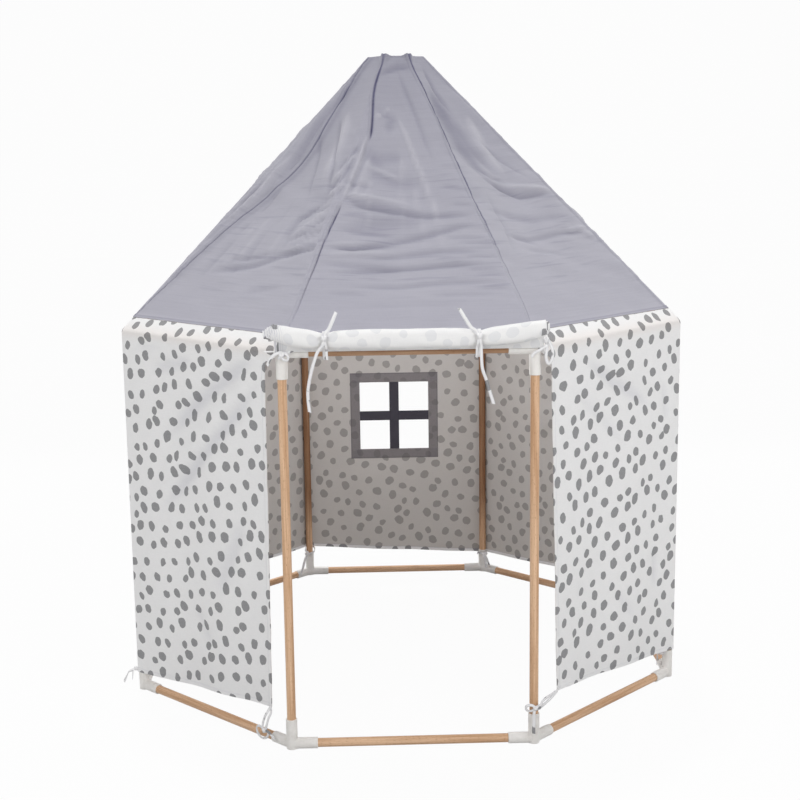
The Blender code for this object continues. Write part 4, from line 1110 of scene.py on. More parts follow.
def gore_shape(side, up, top, x, width, creases, relief, puckers):
    """How far one row of a gore lies over its plane by its sag, folds, creases and puckers, and its painted
    shade and highlights.
    """
    share, across, edge = x / width, x - width / 2, np.minimum(x, width - x)
    part = min(up / top, 1)
    sag = GORE_SAG + GORE_FOLD_DEPTH * np.sin(2 * np.pi * (1.5 * part + 0.65 * share + 0.35 * side))
    rise = ROOF_MIDDLE - np.sin(np.pi * share) ** 2 * math.sin(math.pi * part) * sag
    started = np.clip(edge / CREASE_START, 0, 1)
    if part < 1:
        calm = np.clip(edge / 0.02, 0, 1) * math.sin(math.pi * part) ** 0.5
        rise += calm * RELIEF_HEIGHT * relief(across + GORE_SHIFT * side, up)
        pucker = np.exp(-edge / PUCKER_REACH) * started * min(1, part * 6)
        rise += PUCKER_HEIGHT * pucker * puckers(up, across * 0.25 + side)
    wanted = CREASE_DEPTH * started * crease_relief(across, up, creases)
    rise += np.maximum(wanted, -GROOVE_LIMIT - GROOVE_SLOPE * np.clip(edge - GROOVE_START, 0, 1))
    shade = CREASE_SHADE * np.clip(-wanted / DARK_GROOVE, 0, 1)
    shade -= CREASE_LIGHT * np.clip(wanted / BRIGHT_RIDGE, 0, 1)
    shade *= 1.0 if side in SEEN_GORES else UNSEEN_STRENGTH
    return rise, shade + float(np.interp(up, *zip(*TOP_SHADES)))


def seam_shape(side, up, x, width, drift):
    """The rise and the shade that a row's two seams give it, with their laps, lines and drifted cloth."""
    past = x - (width - drift)
    start = x + seam_drift(side - 1, up)
    left = np.where(past > 0, past, start)
    second_share = seam_share(side + 1, up)
    left_share = np.where(past > 0, second_share, seam_share(side, up))
    line_share = np.where(np.abs(past) < left, second_share, left_share)
    rise = np.where((left > LAP_START) & (left < LAP_END), LAP_HEIGHT, 0.0) * left_share
    rise -= LINE_DEPTH * line_share * np.exp(-(np.minimum(np.abs(past), left) / LINE_WIDTH) ** 2)
    rise += DRIFT_SWELL * drift * np.sin(np.pi * np.clip(past / max(drift, 1e-6), 0, 1)) ** 2
    streaks = np.sin(2 * np.pi * past / STREAK_LENGTH) * np.clip(past / 0.01, 0, 1) * (drift > STREAK_DRIFT)
    rise += STREAK_HEIGHT * streaks * np.clip(np.minimum(x, width - x) / 0.008, 0, 1)
    shade = seam_look(side, up, np.where(past > 0, 1.0, start)) + seam_look(side + 1, up, np.abs(past))
    shade += STITCH_SHADE * left_share * np.exp(-((left - LAP_END) / STITCH_WIDTH) ** 2)
    if side == 0:
        shade += BAND_SHADE * np.exp(-((past - BAND_PLACE) / BAND_WIDTH) ** 2) * smooth_share(up / 0.25)
    return rise, shade


def make_roof(cloth):
    """One continuous cover of eight gores, with a felled seam down every ridge and a low crown."""
    rows, top = roof_rows()
    inner = [SEEN_INNER_COLUMNS if side in SEEN_GORES else GORE_INNER_COLUMNS for side in range(COUNT)]
    starts = np.cumsum([0] + [2 * len(RIDGE_STEPS) + count for count in inner])
    points = np.zeros((len(rows), starts[-1], 3))
    uv = np.zeros((len(rows), starts[-1], 2))
    uv_after = np.zeros_like(uv)
    seam = np.zeros((len(rows), starts[-1]))
    centre, upward = np.array(CENTRE), np.array(UP)
    relief = waves("roof", 14, 0.05, 0.30)
    puckers = waves("puckers", 18, 0.012, 0.05)
    for side in range(COUNT):
        outward = np.array(side_direction(side))
        first, second = np.array(corner_direction(side)), np.array(corner_direction(side + 1))
        normal = math.sin(GORE_PITCH) * outward + math.cos(GORE_PITCH) * upward
        creases = {FRONT_SIDE: FRONT_CREASES, 0: LEFT_CREASES, 6: RIGHT_CREASES}.get(side)
        creases = creases or spread_creases(f"gore{side}", 11, top)
        for row, (up, distance, height, crown) in enumerate(rows):
            width = 2 * distance * math.tan(HALF_STEP)
            drift = seam_drift(side, up) * min(1, up / 0.02)
            fine = drift if side in SEAM_DRIFT else None
            x = gore_columns(width, fine, inner[side], side in SLIGHT_DRIFTS)
            radius = distance / math.cos(HALF_STEP)
            place = centre + radius * (first + (second - first) * (x / width)[:, None]) + height * upward
            across, edge = x - width / 2, np.minimum(x, width - x)
            ear = np.where(x < width / 2, TOP_EARS[side], TOP_EARS[(side + 1) % COUNT])
            if crown is None:
                rise, shade = gore_shape(side, up, top, x, width, creases, relief, puckers)
                seam_rise, seam_dark = seam_shape(side, up, x, width, drift)
                ear = ear * np.exp(-((top - up) / EAR_REACH) ** 2) * np.exp(-(edge / EAR_WIDTH) ** 2)
                rise, shade = rise + seam_rise + ear, shade + seam_dark
                if up < ROOF_HEM:
                    rise += ROOF_HEM_RISE
                    shade += EDGE_LINE[1] * (up < EDGE_LINE[0]) + STITCH_LINE[1] * (up > STITCH_LINE[0])
                place = place + rise[:, None] * normal
            else:
                ear = CROWN_EAR * ear * np.exp(-((1 - crown) / CROWN_EAR_REACH) ** 2)
                rise = ROOF_MIDDLE + ear * np.exp(-(edge / CROWN_EAR_WIDTH) ** 2)
                rise = rise + CROWN_RELIEF * relief(across * 3 + side, up * 3) * (crown > 0.1)
                shade = CROWN_LINE_SHADE * np.exp(-(edge / LINE_WIDTH) ** 2) * crown
                place = place + rise[:, None] * upward
            here = slice(starts[side], starts[side + 1])
            points[row, here] = place[:-1]
            flat = np.stack([across + GORE_SHIFT * side, np.full_like(x, up)], 1)
            uv[row, here], uv_after[row, here] = flat[:-1], flat[1:]
            seam[row, here] = np.clip(shade, -1, 1)[:-1]
    roof = cloth_piece(
        "roof_cloth", points, uv, CLOTH_THICKNESS, [cloth], seam=seam, closed=True, uv_after=uv_after,
        capped=True,
    )
    declare(roof, "roof_cover")


# The dotted walls

CLOTH_MIDDLE = WALL_DISTANCE + CLOTH_SPACE / 2
EAVE_BEND = CLOTH_CLEARANCE + CLOTH_SPACE / 2
EAVE_TURN = math.pi / 2 - GORE_PITCH
FOLD_MIDDLE = FOLD_HEIGHT + CLOTH_SPACE / 2 * (1 - math.sin(GORE_PITCH)) / math.cos(GORE_PITCH)
BEND_DROP = EAVE_BEND * math.tan(EAVE_TURN / 2)
BEND_START = FOLD_MIDDLE - BEND_DROP
SIDE_CLOTH = 2 * CLOTH_MIDDLE * math.tan(HALF_STEP)
BEND_ROWS, SLOPE_ROWS = 8, 6
# Waves of the walls' soft folds along a side, and their shift from one side to the next
WAVES_PER_SIDE, WAVE_SHIFT = 2, 0.175


def over_the_rail(above=0.0):
    """The cloth's way over the eave rail up to the roof's seam: (distance, height, length of cloth).

    It starts this far above the place where the cloth starts to bend.
    """
    way = []
    first = math.asin(above / EAVE_BEND)
    for step in range(BEND_ROWS + 1):
        angle = first + (EAVE_TURN - first) * step / BEND_ROWS
        distance = CLOTH_MIDDLE - EAVE_BEND + EAVE_BEND * math.cos(angle)
        way.append((distance, BEND_START + EAVE_BEND * math.sin(angle), EAVE_BEND * angle))
    distance, height, length = way[-1]
    rest = SEAM_ABOVE_EAVE - BEND_DROP - 0.0002
    for step in range(1, SLOPE_ROWS + 1):
        run = rest * step / SLOPE_ROWS
        way.append((distance - run * math.cos(GORE_PITCH), height + run * math.sin(GORE_PITCH), length + run))
    return way


def hem_height(side, share):
    first, second = HEM_HEIGHTS[side % COUNT], HEM_HEIGHTS[(side + 1) % COUNT]
    return first + (second - first) * share


def soft_fold(side, share, height):
    """Shallow waves into the tent between the posts, which die out at the posts and at the eave rail."""
    wave = 0.5 + 0.5 * np.sin(2 * np.pi * (WAVES_PER_SIDE * share + WAVE_SHIFT * side))
    down = np.clip(((BEND_START - height) / BEND_START - 0.06) / 0.30, 0, 1)
    return -WALL_FOLD_DEPTH * wave * np.sin(np.pi * share) * down


# Folds of a wall in millimetres, as a gore's creases, but from its middle at the floor
WALL_CREASES = {
    0: (
        (18, -7, (-236, 987), (-198, 960), (-71, 885), (40, 809), (144, 730)),
        (21, 6, (-212, 937), (-146, 881), (-17, 770), (147, 615), (225, 541)),
        (18, -7, (-225, 906), (-163, 846), (-43, 735), (63, 636), (175, 525)),
        (26, -4.5, (-171, 564), (-97, 447), (-36, 340)),
        (20, 3, (-211, 621), (-161, 498), (-124, 374)),
        (14, -4, (259, 955), (93, 988)),
        (14, -5, (191, 901), (16, 944)),
        (18, 4.5, (-155, 985), (27, 882), (197, 811)),
        (14, -3, (64, 302), (-19, 191)),
    ),
    6: (
        (14, -6, (118, 941), (-7, 867), (-83, 833), (-177, 781)),
        (12, 4.5, (68, 950), (-73, 879), (-199, 815)),
        (16, 4.5, (176, 948), (36, 855), (-122, 738)),
        (14, -2.6, (158, 867), (30, 777), (-69, 694)),
        (12, -4, (-213, 398), (-213, 278)),
        (9, 2.4, (-180, 397), (-163, 326)),
        (14, -3, (-33, 310), (-109, 228)),
        (14, -3, (-232, 840), (-255, 734)),
    ),
}


def wall_creases(side):
    """The folds of this wall, or soft ones that run down from its upper corners."""
    if side in WALL_CREASES:
        return WALL_CREASES[side]
    pick = random.Random(f"wall {side}")
    creases = []
    for number in range(6):
        hand = pick.choice((-1, 1))
        top, width = pick.uniform(700, 940), pick.uniform(20, 34)
        inner, drop = pick.uniform(-50, 160), pick.uniform(120, 360)
        height = pick.uniform(0.19, 0.27) * width * (-1 if number % 3 else 0.8)
        spots = (hand * 250, top), (hand * (220 + inner) / 2, top - 0.42 * drop), (-hand * inner, top - drop)
        creases.append((width, height, *spots))
    return creases


def smooth_share(value):
    value = np.clip(value, 0, 1)
    return value * value * (3 - 2 * value)


def corner_round(along, radius):
    """How far cloth that bends round a post lies inside its side's plane, at a distance from the corner."""
    reach = radius * math.tan(HALF_STEP)
    near = np.clip(reach - along, 0, reach)
    return radius - np.sqrt(radius ** 2 - near ** 2)


# Rows of a hem, as metres from its edge, how many of them are thick, and the place of its stitches
HEM_LEVELS = (0.0, 0.0006, 0.0045, 0.0095, 0.0105, 0.0125)
HEM_ROWS, HEM_STITCHES, STITCHES_WIDTH = 4, 0.0105, 0.0012
WALL_COLUMNS, WALL_ROWS = 50, 76
# Just under the place where the cloth bends over the rail
WALL_TOP = BEND_START - 0.0015
# Folds of a wall are drawn this much deeper than the table says. A groove this deep gets the full painted
# shade, and the invented ones get less of it.
WALL_CREASE_DEPTH, WALL_CREASE_SHADE, DARK_FOLD, UNSEEN_SHADE = 1.40, 0.60, 0.012, 0.35
# The painted warm shade by the eave rail, where the rail shows through the cloth: strength, height over the
# rail and reach
RAIL_WARM_SHADE, WARM_HEIGHT, WARM_REACH = 0.55, 0.006, 0.016
RIPPLE_HEIGHT, CRINKLE_HEIGHT = 0.0035, 0.0010
STITCH_DARK, BACK_STITCH_DARK, EDGE_STITCH_DARK = 0.30, 0.55, 0.5


def waved(wave, u, lengths):
    """A wave's relief from 0 to 1."""
    return 0.5 + 0.5 * wave(u, lengths)


def wing_fold(name):
    """A wing's folds into the tent, and the shade painted in them."""
    ripple, crinkle = waves(name, 12, 0.10, 0.45), waves(name + "fine", 12, 0.03, 0.10)

    def fold_of(side, shares, heights, lengths, along):
        under, u = BEND_START - heights, (side + shares) * SIDE_CLOTH
        free = np.sin(np.pi * np.clip(shares, 0, 1)) * smooth_share(under / 0.12)
        fold = soft_fold(side, shares, heights) - RIPPLE_HEIGHT * free * waved(ripple, u, lengths)
        free = smooth_share(along / 0.02) * smooth_share(under / 0.05)
        fold -= CRINKLE_HEIGHT * free * waved(crinkle, u, lengths)
        held = smooth_share(along / 0.05) * smooth_share(under / 0.04)
        creases = crease_relief((shares - 0.5) * SIDE_CLOTH, heights, wall_creases(side))
        folded = WALL_CREASE_DEPTH * held * creases
        # Painted shade in the folds' grooves, less on the invented folds
        shade = WALL_CREASE_SHADE * (1 if side in WALL_CREASES else UNSEEN_SHADE)
        return fold + folded, shade * np.clip(-folded / DARK_FOLD, 0, 1)

    return fold_of


def back_fold(window_low):
    """The back wall's folds, which die out beside and above the window."""
    ripple, crinkle = waves("back", 12, 0.10, 0.40), waves("backfine", 12, 0.03, 0.10)

    def fold_of(side, shares, heights, lengths, along):
        u = (side + shares) * SIDE_CLOTH
        beside = SIDE_CLOTH * np.abs(shares - 0.5) - WINDOW_HALF_WIDTH
        free = np.clip(np.maximum(beside, window_low - heights) / 0.050, 0, 1)
        drop = free * smooth_share((BEND_START - heights) / 0.12)
        fold = soft_fold(side, shares, heights) * free
        fold -= RIPPLE_HEIGHT * drop * np.sin(np.pi * shares) * waved(ripple, u, lengths)
        return fold - CRINKLE_HEIGHT * drop * np.clip(along / 0.02, 0, 1) * waved(crinkle, u, lengths), 0

    return fold_of


def wall_points(columns, row_heights, fold_of, stitch_dark, painted_warm_shade=0.0, free_edge=None):
    """Middle points, flat places, thickness and seam shade of a wall: stitches, painted shade in folds and a
    painted warm shade by the eave rail.

    columns lists (side, share over the eave, share below it, share at the hem), and row_heights gives the
    rows' heights over a hem. free_edge is the index of the column that is a free edge, with the step
    towards the inside of the cloth.
    """
    way = over_the_rail()
    centre, up = np.array(CENTRE), np.array(UP)
    spots, flats, shades = [], [], []
    for side, eave_share, top_share, hem_share in columns:
        first, second = np.array(corner_direction(side)), np.array(corner_direction(side + 1))
        hem = hem_height(side, top_share)
        z = row_heights(hem)
        part = (BEND_START - z) / (BEND_START - hem)
        share = top_share + (hem_share - top_share) * part
        share = eave_share + (share - eave_share) * smooth_share(part / 0.035)
        heights = np.concatenate([z, [item[1] for item in way]])
        distances = np.concatenate([np.full(len(z), CLOTH_MIDDLE), [item[0] for item in way]])
        shares = np.concatenate([share, np.full(len(way), eave_share)])
        lengths = np.concatenate([z - BEND_START, [item[2] for item in way]])
        along = np.minimum(shares, 1 - shares) * 2 * distances * math.tan(HALF_STEP)
        radius = distances / math.cos(HALF_STEP)
        spot = centre + radius[:, None] * (first + (second - first) * shares[:, None]) + heights[:, None] * up
        fold, painted_fold_shade = fold_of(side, shares, heights, lengths, along)
        over_hem = heights - hem_height(side, shares)
        shade = stitch_dark * np.exp(-((over_hem - HEM_STITCHES) / STITCHES_WIDTH) ** 2)
        # Painted warm shade by the eave rail, kept below 0
        shade -= painted_warm_shade * np.exp(-((heights - EAVE_HEIGHT - WARM_HEIGHT) / WARM_REACH) ** 2)
        if min(eave_share, 1 - eave_share) < 1e-6:
            towards = first if eave_share < 0.5 else second
            spot = spot - (EAVE_BEND / math.cos(HALF_STEP) - EAVE_BEND) * towards
        else:
            spot = spot + (fold - corner_round(along, EAVE_BEND))[:, None] * np.array(side_direction(side))
            # Painted shade in the folds' grooves
            shade += painted_fold_shade
        spots.append(spot)
        flats.append(np.stack([(side + shares) * SIDE_CLOTH, lengths], 1))
        shades.append(shade)
    points, uv, seam = np.stack(spots, 1), np.stack(flats, 1), np.stack(shades, 1)
    thickness = np.full(seam.shape, CLOTH_THICKNESS)
    thickness[:HEM_ROWS] = HEM_THICKNESS
    if free_edge:
        edge, inward = free_edge
        for step in range(HEM_ROWS):
            thickness[:, edge + inward * step] = HEM_THICKNESS
        stitches = edge + inward * HEM_ROWS
        seam[:, stitches] = np.maximum(seam[:, stitches], EDGE_STITCH_DARK)
    return points, uv, thickness, seam


# The back wall by the window: how far its hole lies inside the trim's outer edge, how far outside that edge
# its level rows start, and how many rows and columns there are
HOLE_INSET, TRIM_GAP = STRIP_WIDTH - 0.0011, 0.0003
TRIM_STEPS, HOLE_COLUMNS, HOLE_ROWS, ROWS_BELOW, ROWS_ABOVE = 3, 16, 14, 22, 12


def side_columns(count, start=0.0, end=1.0, near_start=True, near_end=True):
    """Shares across a side, with columns close together beside its corners."""
    near = [place / SIDE_CLOTH for place in (0.0022, 0.0043, 0.0066, 0.0110)]
    shares = [start]
    if near_start:
        shares += [start + place for place in near]
    last = shares[-1]
    stop = end - near[-1] if near_end else end
    shares += list(np.linspace(last, stop, count + 1)[1:])
    if near_end:
        shares += [end - place for place in reversed(near[:-1])] + [end]
    return shares


def wing_columns(first_side, free_end, free_hem):
    """The columns of three walls in a row, of which one hangs free beside the door and leans away from it."""
    columns = []
    hems = [place / SIDE_CLOTH for place in HEM_LEVELS]
    gap = FIT_GAP / 2 / SIDE_LENGTH
    spans = [setback / SIDE_LENGTH for setback in (FREE_EDGE_SETBACK_TOP, free_hem)]
    for place in range(3):
        is_free = place == (2 if free_end else 0)
        if is_free and not free_end:
            shares = [*hems[:-1], *side_columns(WALL_COLUMNS, hems[-1], 1.0, near_start=False)]
        elif is_free:
            body = side_columns(WALL_COLUMNS, 0.0, 1 - hems[-1], near_end=False)
            shares = [*body, *(1 - hem for hem in reversed(hems[:-1]))]
        else:
            shares = side_columns(WALL_COLUMNS)
        for share in shares[:-1] if place < 2 else shares:
            lower = [share, share]
            if is_free and free_end:
                lower = [share * (1 - span) if share < 1 - hems[-1] else share - span for span in spans]
            elif is_free:
                lower = [share * (1 - span) + span if share > hems[-1] else share + span for span in spans]
            at_gap = {(0, 0): gap, (2, 1): 1 - gap}
            columns.append((first_side + place, at_gap.get((place, share), share), *lower))
    return columns


def make_wing(name, node, first_side, free_end, free_hem, materials):
    """Three walls in one piece. free_end says which end hangs free beside the door: 0 or 1."""
    columns = wing_columns(first_side, free_end, free_hem)

    def row_heights(hem):
        start = hem + HEM_LEVELS[-1]
        body = [start + (WALL_TOP - start) * step / WALL_ROWS for step in range(1, WALL_ROWS + 1)]
        return np.array([hem + level for level in HEM_LEVELS] + body)

    edge = (len(columns) - 1, -1) if free_end else (0, 1)
    points, uv, thickness, seam = wall_points(
        columns, row_heights, wing_fold(name), STITCH_DARK, RAIL_WARM_SHADE, edge
    )
    turned = np.zeros((points.shape[0] - 1, points.shape[1] - 1), bool)
    turned[:HEM_ROWS - 1] = True
    turned[:, slice(1 - HEM_ROWS, None) if free_end else slice(HEM_ROWS - 1)] = True
    wall = cloth_piece(name, points, uv, thickness, materials, seam=seam, turned=turned)
    declare(wall, node)


def make_back_wall(materials):
    """The back wall, whose rows and columns are level and upright beside the hole of the window."""
    clear, edge = WINDOW_HALF_WIDTH - HOLE_INSET, WINDOW_HALF_WIDTH + TRIM_GAP
    hole = [0.5 - clear / SIDE_CLOTH, 0.5 + clear / SIDE_CLOTH]
    trim = [0.5 - edge / SIDE_CLOTH, 0.5 + edge / SIDE_CLOTH]
    left = side_columns(12, FIT_GAP / 2 / SIDE_LENGTH, trim[0], near_end=False)
    shares = left + list(np.linspace(trim[0], hole[0], TRIM_STEPS + 1)[1:])
    shares += list(np.linspace(hole[0], hole[1], HOLE_COLUMNS + 1)[1:])
    shares += list(np.linspace(hole[1], trim[1], TRIM_STEPS + 1)[1:])
    shares += [1 - share for share in reversed(left[:-1])]
    low, high = (WINDOW_CENTRE_HEIGHT + hand * (WINDOW_HALF_HEIGHT + TRIM_GAP) for hand in (-1, 1))
    hole_low, hole_high = (
        WINDOW_CENTRE_HEIGHT + hand * (WINDOW_HALF_HEIGHT - HOLE_INSET) for hand in (-1, 1)
    )
    window_rows = [*np.linspace(low, hole_low, TRIM_STEPS + 1)]
    window_rows += [*np.linspace(hole_low, hole_high, HOLE_ROWS + 1)[1:]]
    window_rows += [*np.linspace(hole_high, high, TRIM_STEPS + 1)[1:]]

    def row_heights(hem):
        start = hem + HEM_LEVELS[-1]
        below = [start + (low - start) * step / ROWS_BELOW for step in range(1, ROWS_BELOW)]
        above = [high + (WALL_TOP - high) * step / ROWS_ABOVE for step in range(1, ROWS_ABOVE + 1)]
        return np.array([hem + level for level in HEM_LEVELS] + below + window_rows + above)

    columns = [(BACK_SIDE, share, share, share) for share in shares]
    points, uv, thickness, seam = wall_points(columns, row_heights, back_fold(low), BACK_STITCH_DARK)
    kept = np.ones((points.shape[0] - 1, points.shape[1] - 1), bool)
    first_row = len(HEM_LEVELS) + ROWS_BELOW - 1 + TRIM_STEPS
    first_column = shares.index(hole[0])
    kept[first_row:first_row + HOLE_ROWS, first_column:first_column + HOLE_COLUMNS] = False
    turned = np.zeros_like(kept)
    turned[:HEM_ROWS - 1] = True
    wall = cloth_piece(
        "back_wall_cloth", points, uv, thickness, materials, kept=kept, seam=seam, turned=turned
    )
    declare(wall, "wall_back")


# The window

# A strip's distance from the wall's middle, how much more its second layer has, and places from its edge
STRIP_OFF, STRIP_LAYER, STRIP_TURN, STRIP_STITCHES, STRIP_EDGE = 0.0011, 0.0006, 0.0006, 0.0022, 0.0034
STRIP_RIPPLE, STRIP_STITCH_WIDTH = 0.0004, 0.0007
# How far the two bars give way where they cross, and their waves
BAR_LIFT, BAR_RIPPLE = 0.0004, 0.0003


def window_piece(name, node, upright, reach, rows, columns, spot_of, thickness, material,
                 flipped=False):
    """A strip by the window. spot_of gives a row's place across the strip, depth and shade along it."""
    points = np.zeros((len(rows), columns, 3))
    uv = np.zeros((len(rows), columns, 2))
    seam = np.zeros((len(rows), columns))
    for row, item in enumerate(rows):
        for column, along in enumerate(np.linspace(-reach, reach, columns)):
            offset, depth, shade = spot_of(item, along)
            x, z = (offset, along) if upright else (along, offset)
            points[row, column] = (x, CLOTH_MIDDLE + depth, WINDOW_CENTRE_HEIGHT + z)
            uv[row, column] = ((BACK_SIDE + 0.5) * SIDE_CLOTH + x, WINDOW_CENTRE_HEIGHT + z - BEND_START)
            seam[row, column] = shade
    points += np.array(CENTRE)
    if flipped:
        points, uv, seam = points[::-1], uv[::-1], seam[::-1]
    piece = cloth_piece(name, points, uv, thickness, [material], seam=np.clip(seam, 0, 1))
    declare(piece, node)


def window_strip(name, upright, hand, layer, material):
    """A strip folded over one edge of the window's hole. hand is -1 for left or low, 1 for right or high."""
    reach = WINDOW_HALF_HEIGHT if upright else WINDOW_HALF_WIDTH
    edge = WINDOW_HALF_WIDTH if upright else WINDOW_HALF_HEIGHT
    off = STRIP_OFF + STRIP_LAYER * layer
    flat = STRIP_WIDTH - STRIP_TURN - STRIP_EDGE
    fold = [(inward, -off) for inward in (0.0, STRIP_TURN, STRIP_STITCHES, STRIP_EDGE)]
    fold += [(STRIP_EDGE + flat * step / 6, -off) for step in range(1, 7)]
    for step in range(1, 6):
        angle = math.pi * step / 6
        fold.append((STRIP_WIDTH - off * 0.6 + off * 0.6 * math.sin(angle), -off * math.cos(angle)))
    fold += [(STRIP_WIDTH - STRIP_TURN - flat * step / 6, off) for step in range(0, 7)]
    fold += [(inward, off) for inward in (STRIP_STITCHES, STRIP_TURN, 0.0)]
    ripple = waves(name, 8, 0.02, 0.09)

    def spot_of(item, along):
        inward, depth = item
        calm = 1 if abs(depth) < off * 0.99 or inward > 0.004 else 0.4
        wave = STRIP_RIPPLE * float(ripple(along, inward + depth * 8)) * calm
        shade = 0.7 * math.exp(-((inward - STRIP_STITCHES) / STRIP_STITCH_WIDTH) ** 2)
        shade += 0.25 * (reach - abs(along) < STRIP_WIDTH) * (layer == 1)
        return hand * (edge - inward), depth + (wave if depth < 0 else -wave), shade

    window_piece(
        name, "window_trim", upright, reach, fold, 41, spot_of, 0.0005, material,
        flipped=upright == (hand < 0),
    )


def window_bar(name, upright, material):
    reach = (WINDOW_HALF_HEIGHT if upright else WINDOW_HALF_WIDTH) - STRIP_WIDTH + 0.0004
    near = [0.0, 0.0005, STRIP_STITCHES, 0.0036]
    places = near + list(np.linspace(near[-1], STRIP_WIDTH - near[-1], 8)[1:-1])
    places += [STRIP_WIDTH - place for place in reversed(near)]
    ripple = waves(name, 8, 0.03, 0.12)

    def spot_of(aside, along):
        offset = aside - STRIP_WIDTH / 2
        depth = (-BAR_LIFT if upright else BAR_LIFT) * min(1, max(0, 2 - abs(along) / 0.02))
        depth += BAR_RIPPLE * min(1, (reach - abs(along)) / 0.02) * float(ripple(along, offset))
        from_stitches = min(aside, STRIP_WIDTH - aside) - STRIP_STITCHES
        return offset, depth, 0.6 * math.exp(-(from_stitches / STRIP_STITCH_WIDTH) ** 2)

    window_piece(
        name, "window_bars", upright, reach, places, 49, spot_of, 0.0006, material,
    )


def make_window(trim, bar_cloth):
    window_strip("window_strip_left", True, -1, 0, trim)
    window_strip("window_strip_right", True, 1, 0, trim)
    window_strip("window_strip_bottom", False, -1, 1, trim)
    window_strip("window_strip_top", False, 1, 1, trim)
    window_bar("window_bar_upright", True, bar_cloth)
    window_bar("window_bar_level", False, bar_cloth)


# The door: header, sheet and roll


# The door leaves the rail a little above the part's door_sheet, so that the rail shows under the roll
sheet_low, sheet_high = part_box("door_sheet")
DOOR_LIFT = 0.0060
DOOR_TOP, SHEET_DROP = sheet_high.z + DOOR_LIFT, sheet_high.z - sheet_low.z
HEADER_SWELL, DOOR_BOW = 0.0006, 0.0008
# The roll: turns and steps in each, the share of its radius left in the middle, and where the winding starts
ROLL_TURNS, TURN_STEPS, ROLL_CORE, ROLL_START = 11, 26, 0.17, math.radians(-118)
# Its cloth's middle lies this much inside its outline, and a turn's mean radius
ROLL_INSET, MEAN_RADIUS, ROLL_CLOTH = 0.975, 0.0225, 0.00065
# How far a tie draws it in, how thick its ends are, and the depths of its loose bumps, of the pleats by the
# ties and of its long folds, as shares of the radius
PINCH_REACH, END_SHARE, LOOSE_DEPTH = 0.0225, 0.82, 0.035
PLEATS, PLEAT_DEPTH, PLEAT_REACH, LONG_FOLD_DEPTH, LONG_FOLD_LENGTH = 9, 0.060, 0.034, 0.030, 0.41
# The rings at its left end: their depth, spacing and reach, and the strength of the shade painted in them and
# in other folds
RING_DEPTH, RING_SPACING, RING_REACH, RING_SHADE, FOLD_SHADE = 0.085, 0.0088, 0.040, 13, 2.6
# The strip of the roll's ends that shows the door's hem, and how loosely the left end is wound
LEFT_HEM, RIGHT_HEM, LOOSE_END = 0.016, 0.006, 0.60


def make_header(materials):
    gap = FIT_GAP / 2 / SIDE_LENGTH
    shares = side_columns(60, gap, 1 - gap)
    ripple = waves("header", 10, 0.04, 0.16)
    rows = over_the_rail(above=DOOR_TOP + 0.0003 - BEND_START)
    points = np.zeros((len(rows), len(shares), 3))
    uv = np.zeros((len(rows), len(shares), 2))
    outward = np.array(side_direction(FRONT_SIDE))
    for row, (distance, height, length) in enumerate(rows):
        for column, share in enumerate(shares):
            along = min(share, 1 - share) * 2 * distance * math.tan(HALF_STEP)
            spot = np.array(on_side(FRONT_SIDE, share, distance, height))
            swell = HEADER_SWELL * float(ripple(share * SIDE_CLOTH, length * 3)) * min(1, along / 0.05)
            inward = float(corner_round(np.array(along), EAVE_BEND)) + max(0, -swell)
            points[row, column] = spot - inward * outward
            uv[row, column] = ((FRONT_SIDE + share) * SIDE_CLOTH, length)
    header = cloth_piece("door_header_cloth", points, uv, CLOTH_THICKNESS, materials)
    declare(header, "door_header")


def make_door_sheet(materials):
    """The door between the header and the roll: a few millimetres at rest, the whole door when let down."""
    rows, columns = 61, 91
    points = np.zeros((rows, columns, 3))
    uv = np.zeros((rows, columns, 2))
    back = EAVE_BEND - math.sqrt(EAVE_BEND ** 2 - (DOOR_TOP - BEND_START) ** 2)
    for row, part in enumerate(np.linspace(0, 1, rows)):
        drop = 1 - part
        z = DOOR_TOP - SHEET_DROP + SHEET_DROP * (0.5 - math.sin(math.asin(1 - 2 * part) / 3))
        for column, across in enumerate(np.linspace(ROLL_RIGHT_END, ROLL_LEFT_END, columns)):
            bow = -back * max(0, 1 - drop / 0.06)
            if 0 < drop < 0.98:
                swell = 0.5 + 0.5 * math.sin(2 * math.pi * (across / 0.17 + 0.2 * drop)) * (0.6 + 0.4 * drop)
                bow += DOOR_BOW * swell * math.sin(math.pi * min(1, drop * 1.02)) ** 0.6
            points[row, column] = in_front(across, CLOTH_MIDDLE + bow, z)
            uv[row, column] = (across, z)
    sheet = cloth_piece("door_cloth", points, uv, CLOTH_THICKNESS, materials)
    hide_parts("door_sheet")
    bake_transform(sheet)


def pinch(across):
    return max(math.exp(-((across - place) / PINCH_REACH) ** 2) for place in TIE_PLACES)


def roll_lift(across):
    """Both ends of the roll rise beyond the ties."""
    left = max(0, (TIE_PLACES[0] - across) / (TIE_PLACES[0] - ROLL_LEFT_END))
    right = max(0, (across - TIE_PLACES[1]) / (ROLL_RIGHT_END - TIE_PLACES[1]))
    return ROLL_LEFT_LIFT * left ** ROLL_LIFT_POWER + ROLL_RIGHT_LIFT * right ** ROLL_LIFT_POWER


def drawn_share(across):
    """The roll's thickness here as a share of its full one: drawn in at the ties, narrower at its ends."""
    end = min(across - ROLL_LEFT_END, ROLL_RIGHT_END - across)
    gathered = END_SHARE + (1 - END_SHARE) * min(1, max(0, end) / (2 * ROLL_HALF_HEIGHT))
    return gathered * (1 - (1 - ROLL_PINCH) * pinch(across))


def end_rings(inward, wave):
    """The crumpled rings round the roll's left end, as a share of its radius."""
    fade = max(0.0, 1 - inward / RING_REACH) ** 0.7
    ring = 0.5 - 0.5 * math.cos(2 * math.pi * (inward / RING_SPACING + 0.55 * float(wave)))
    return RING_DEPTH * fade * ring ** 2


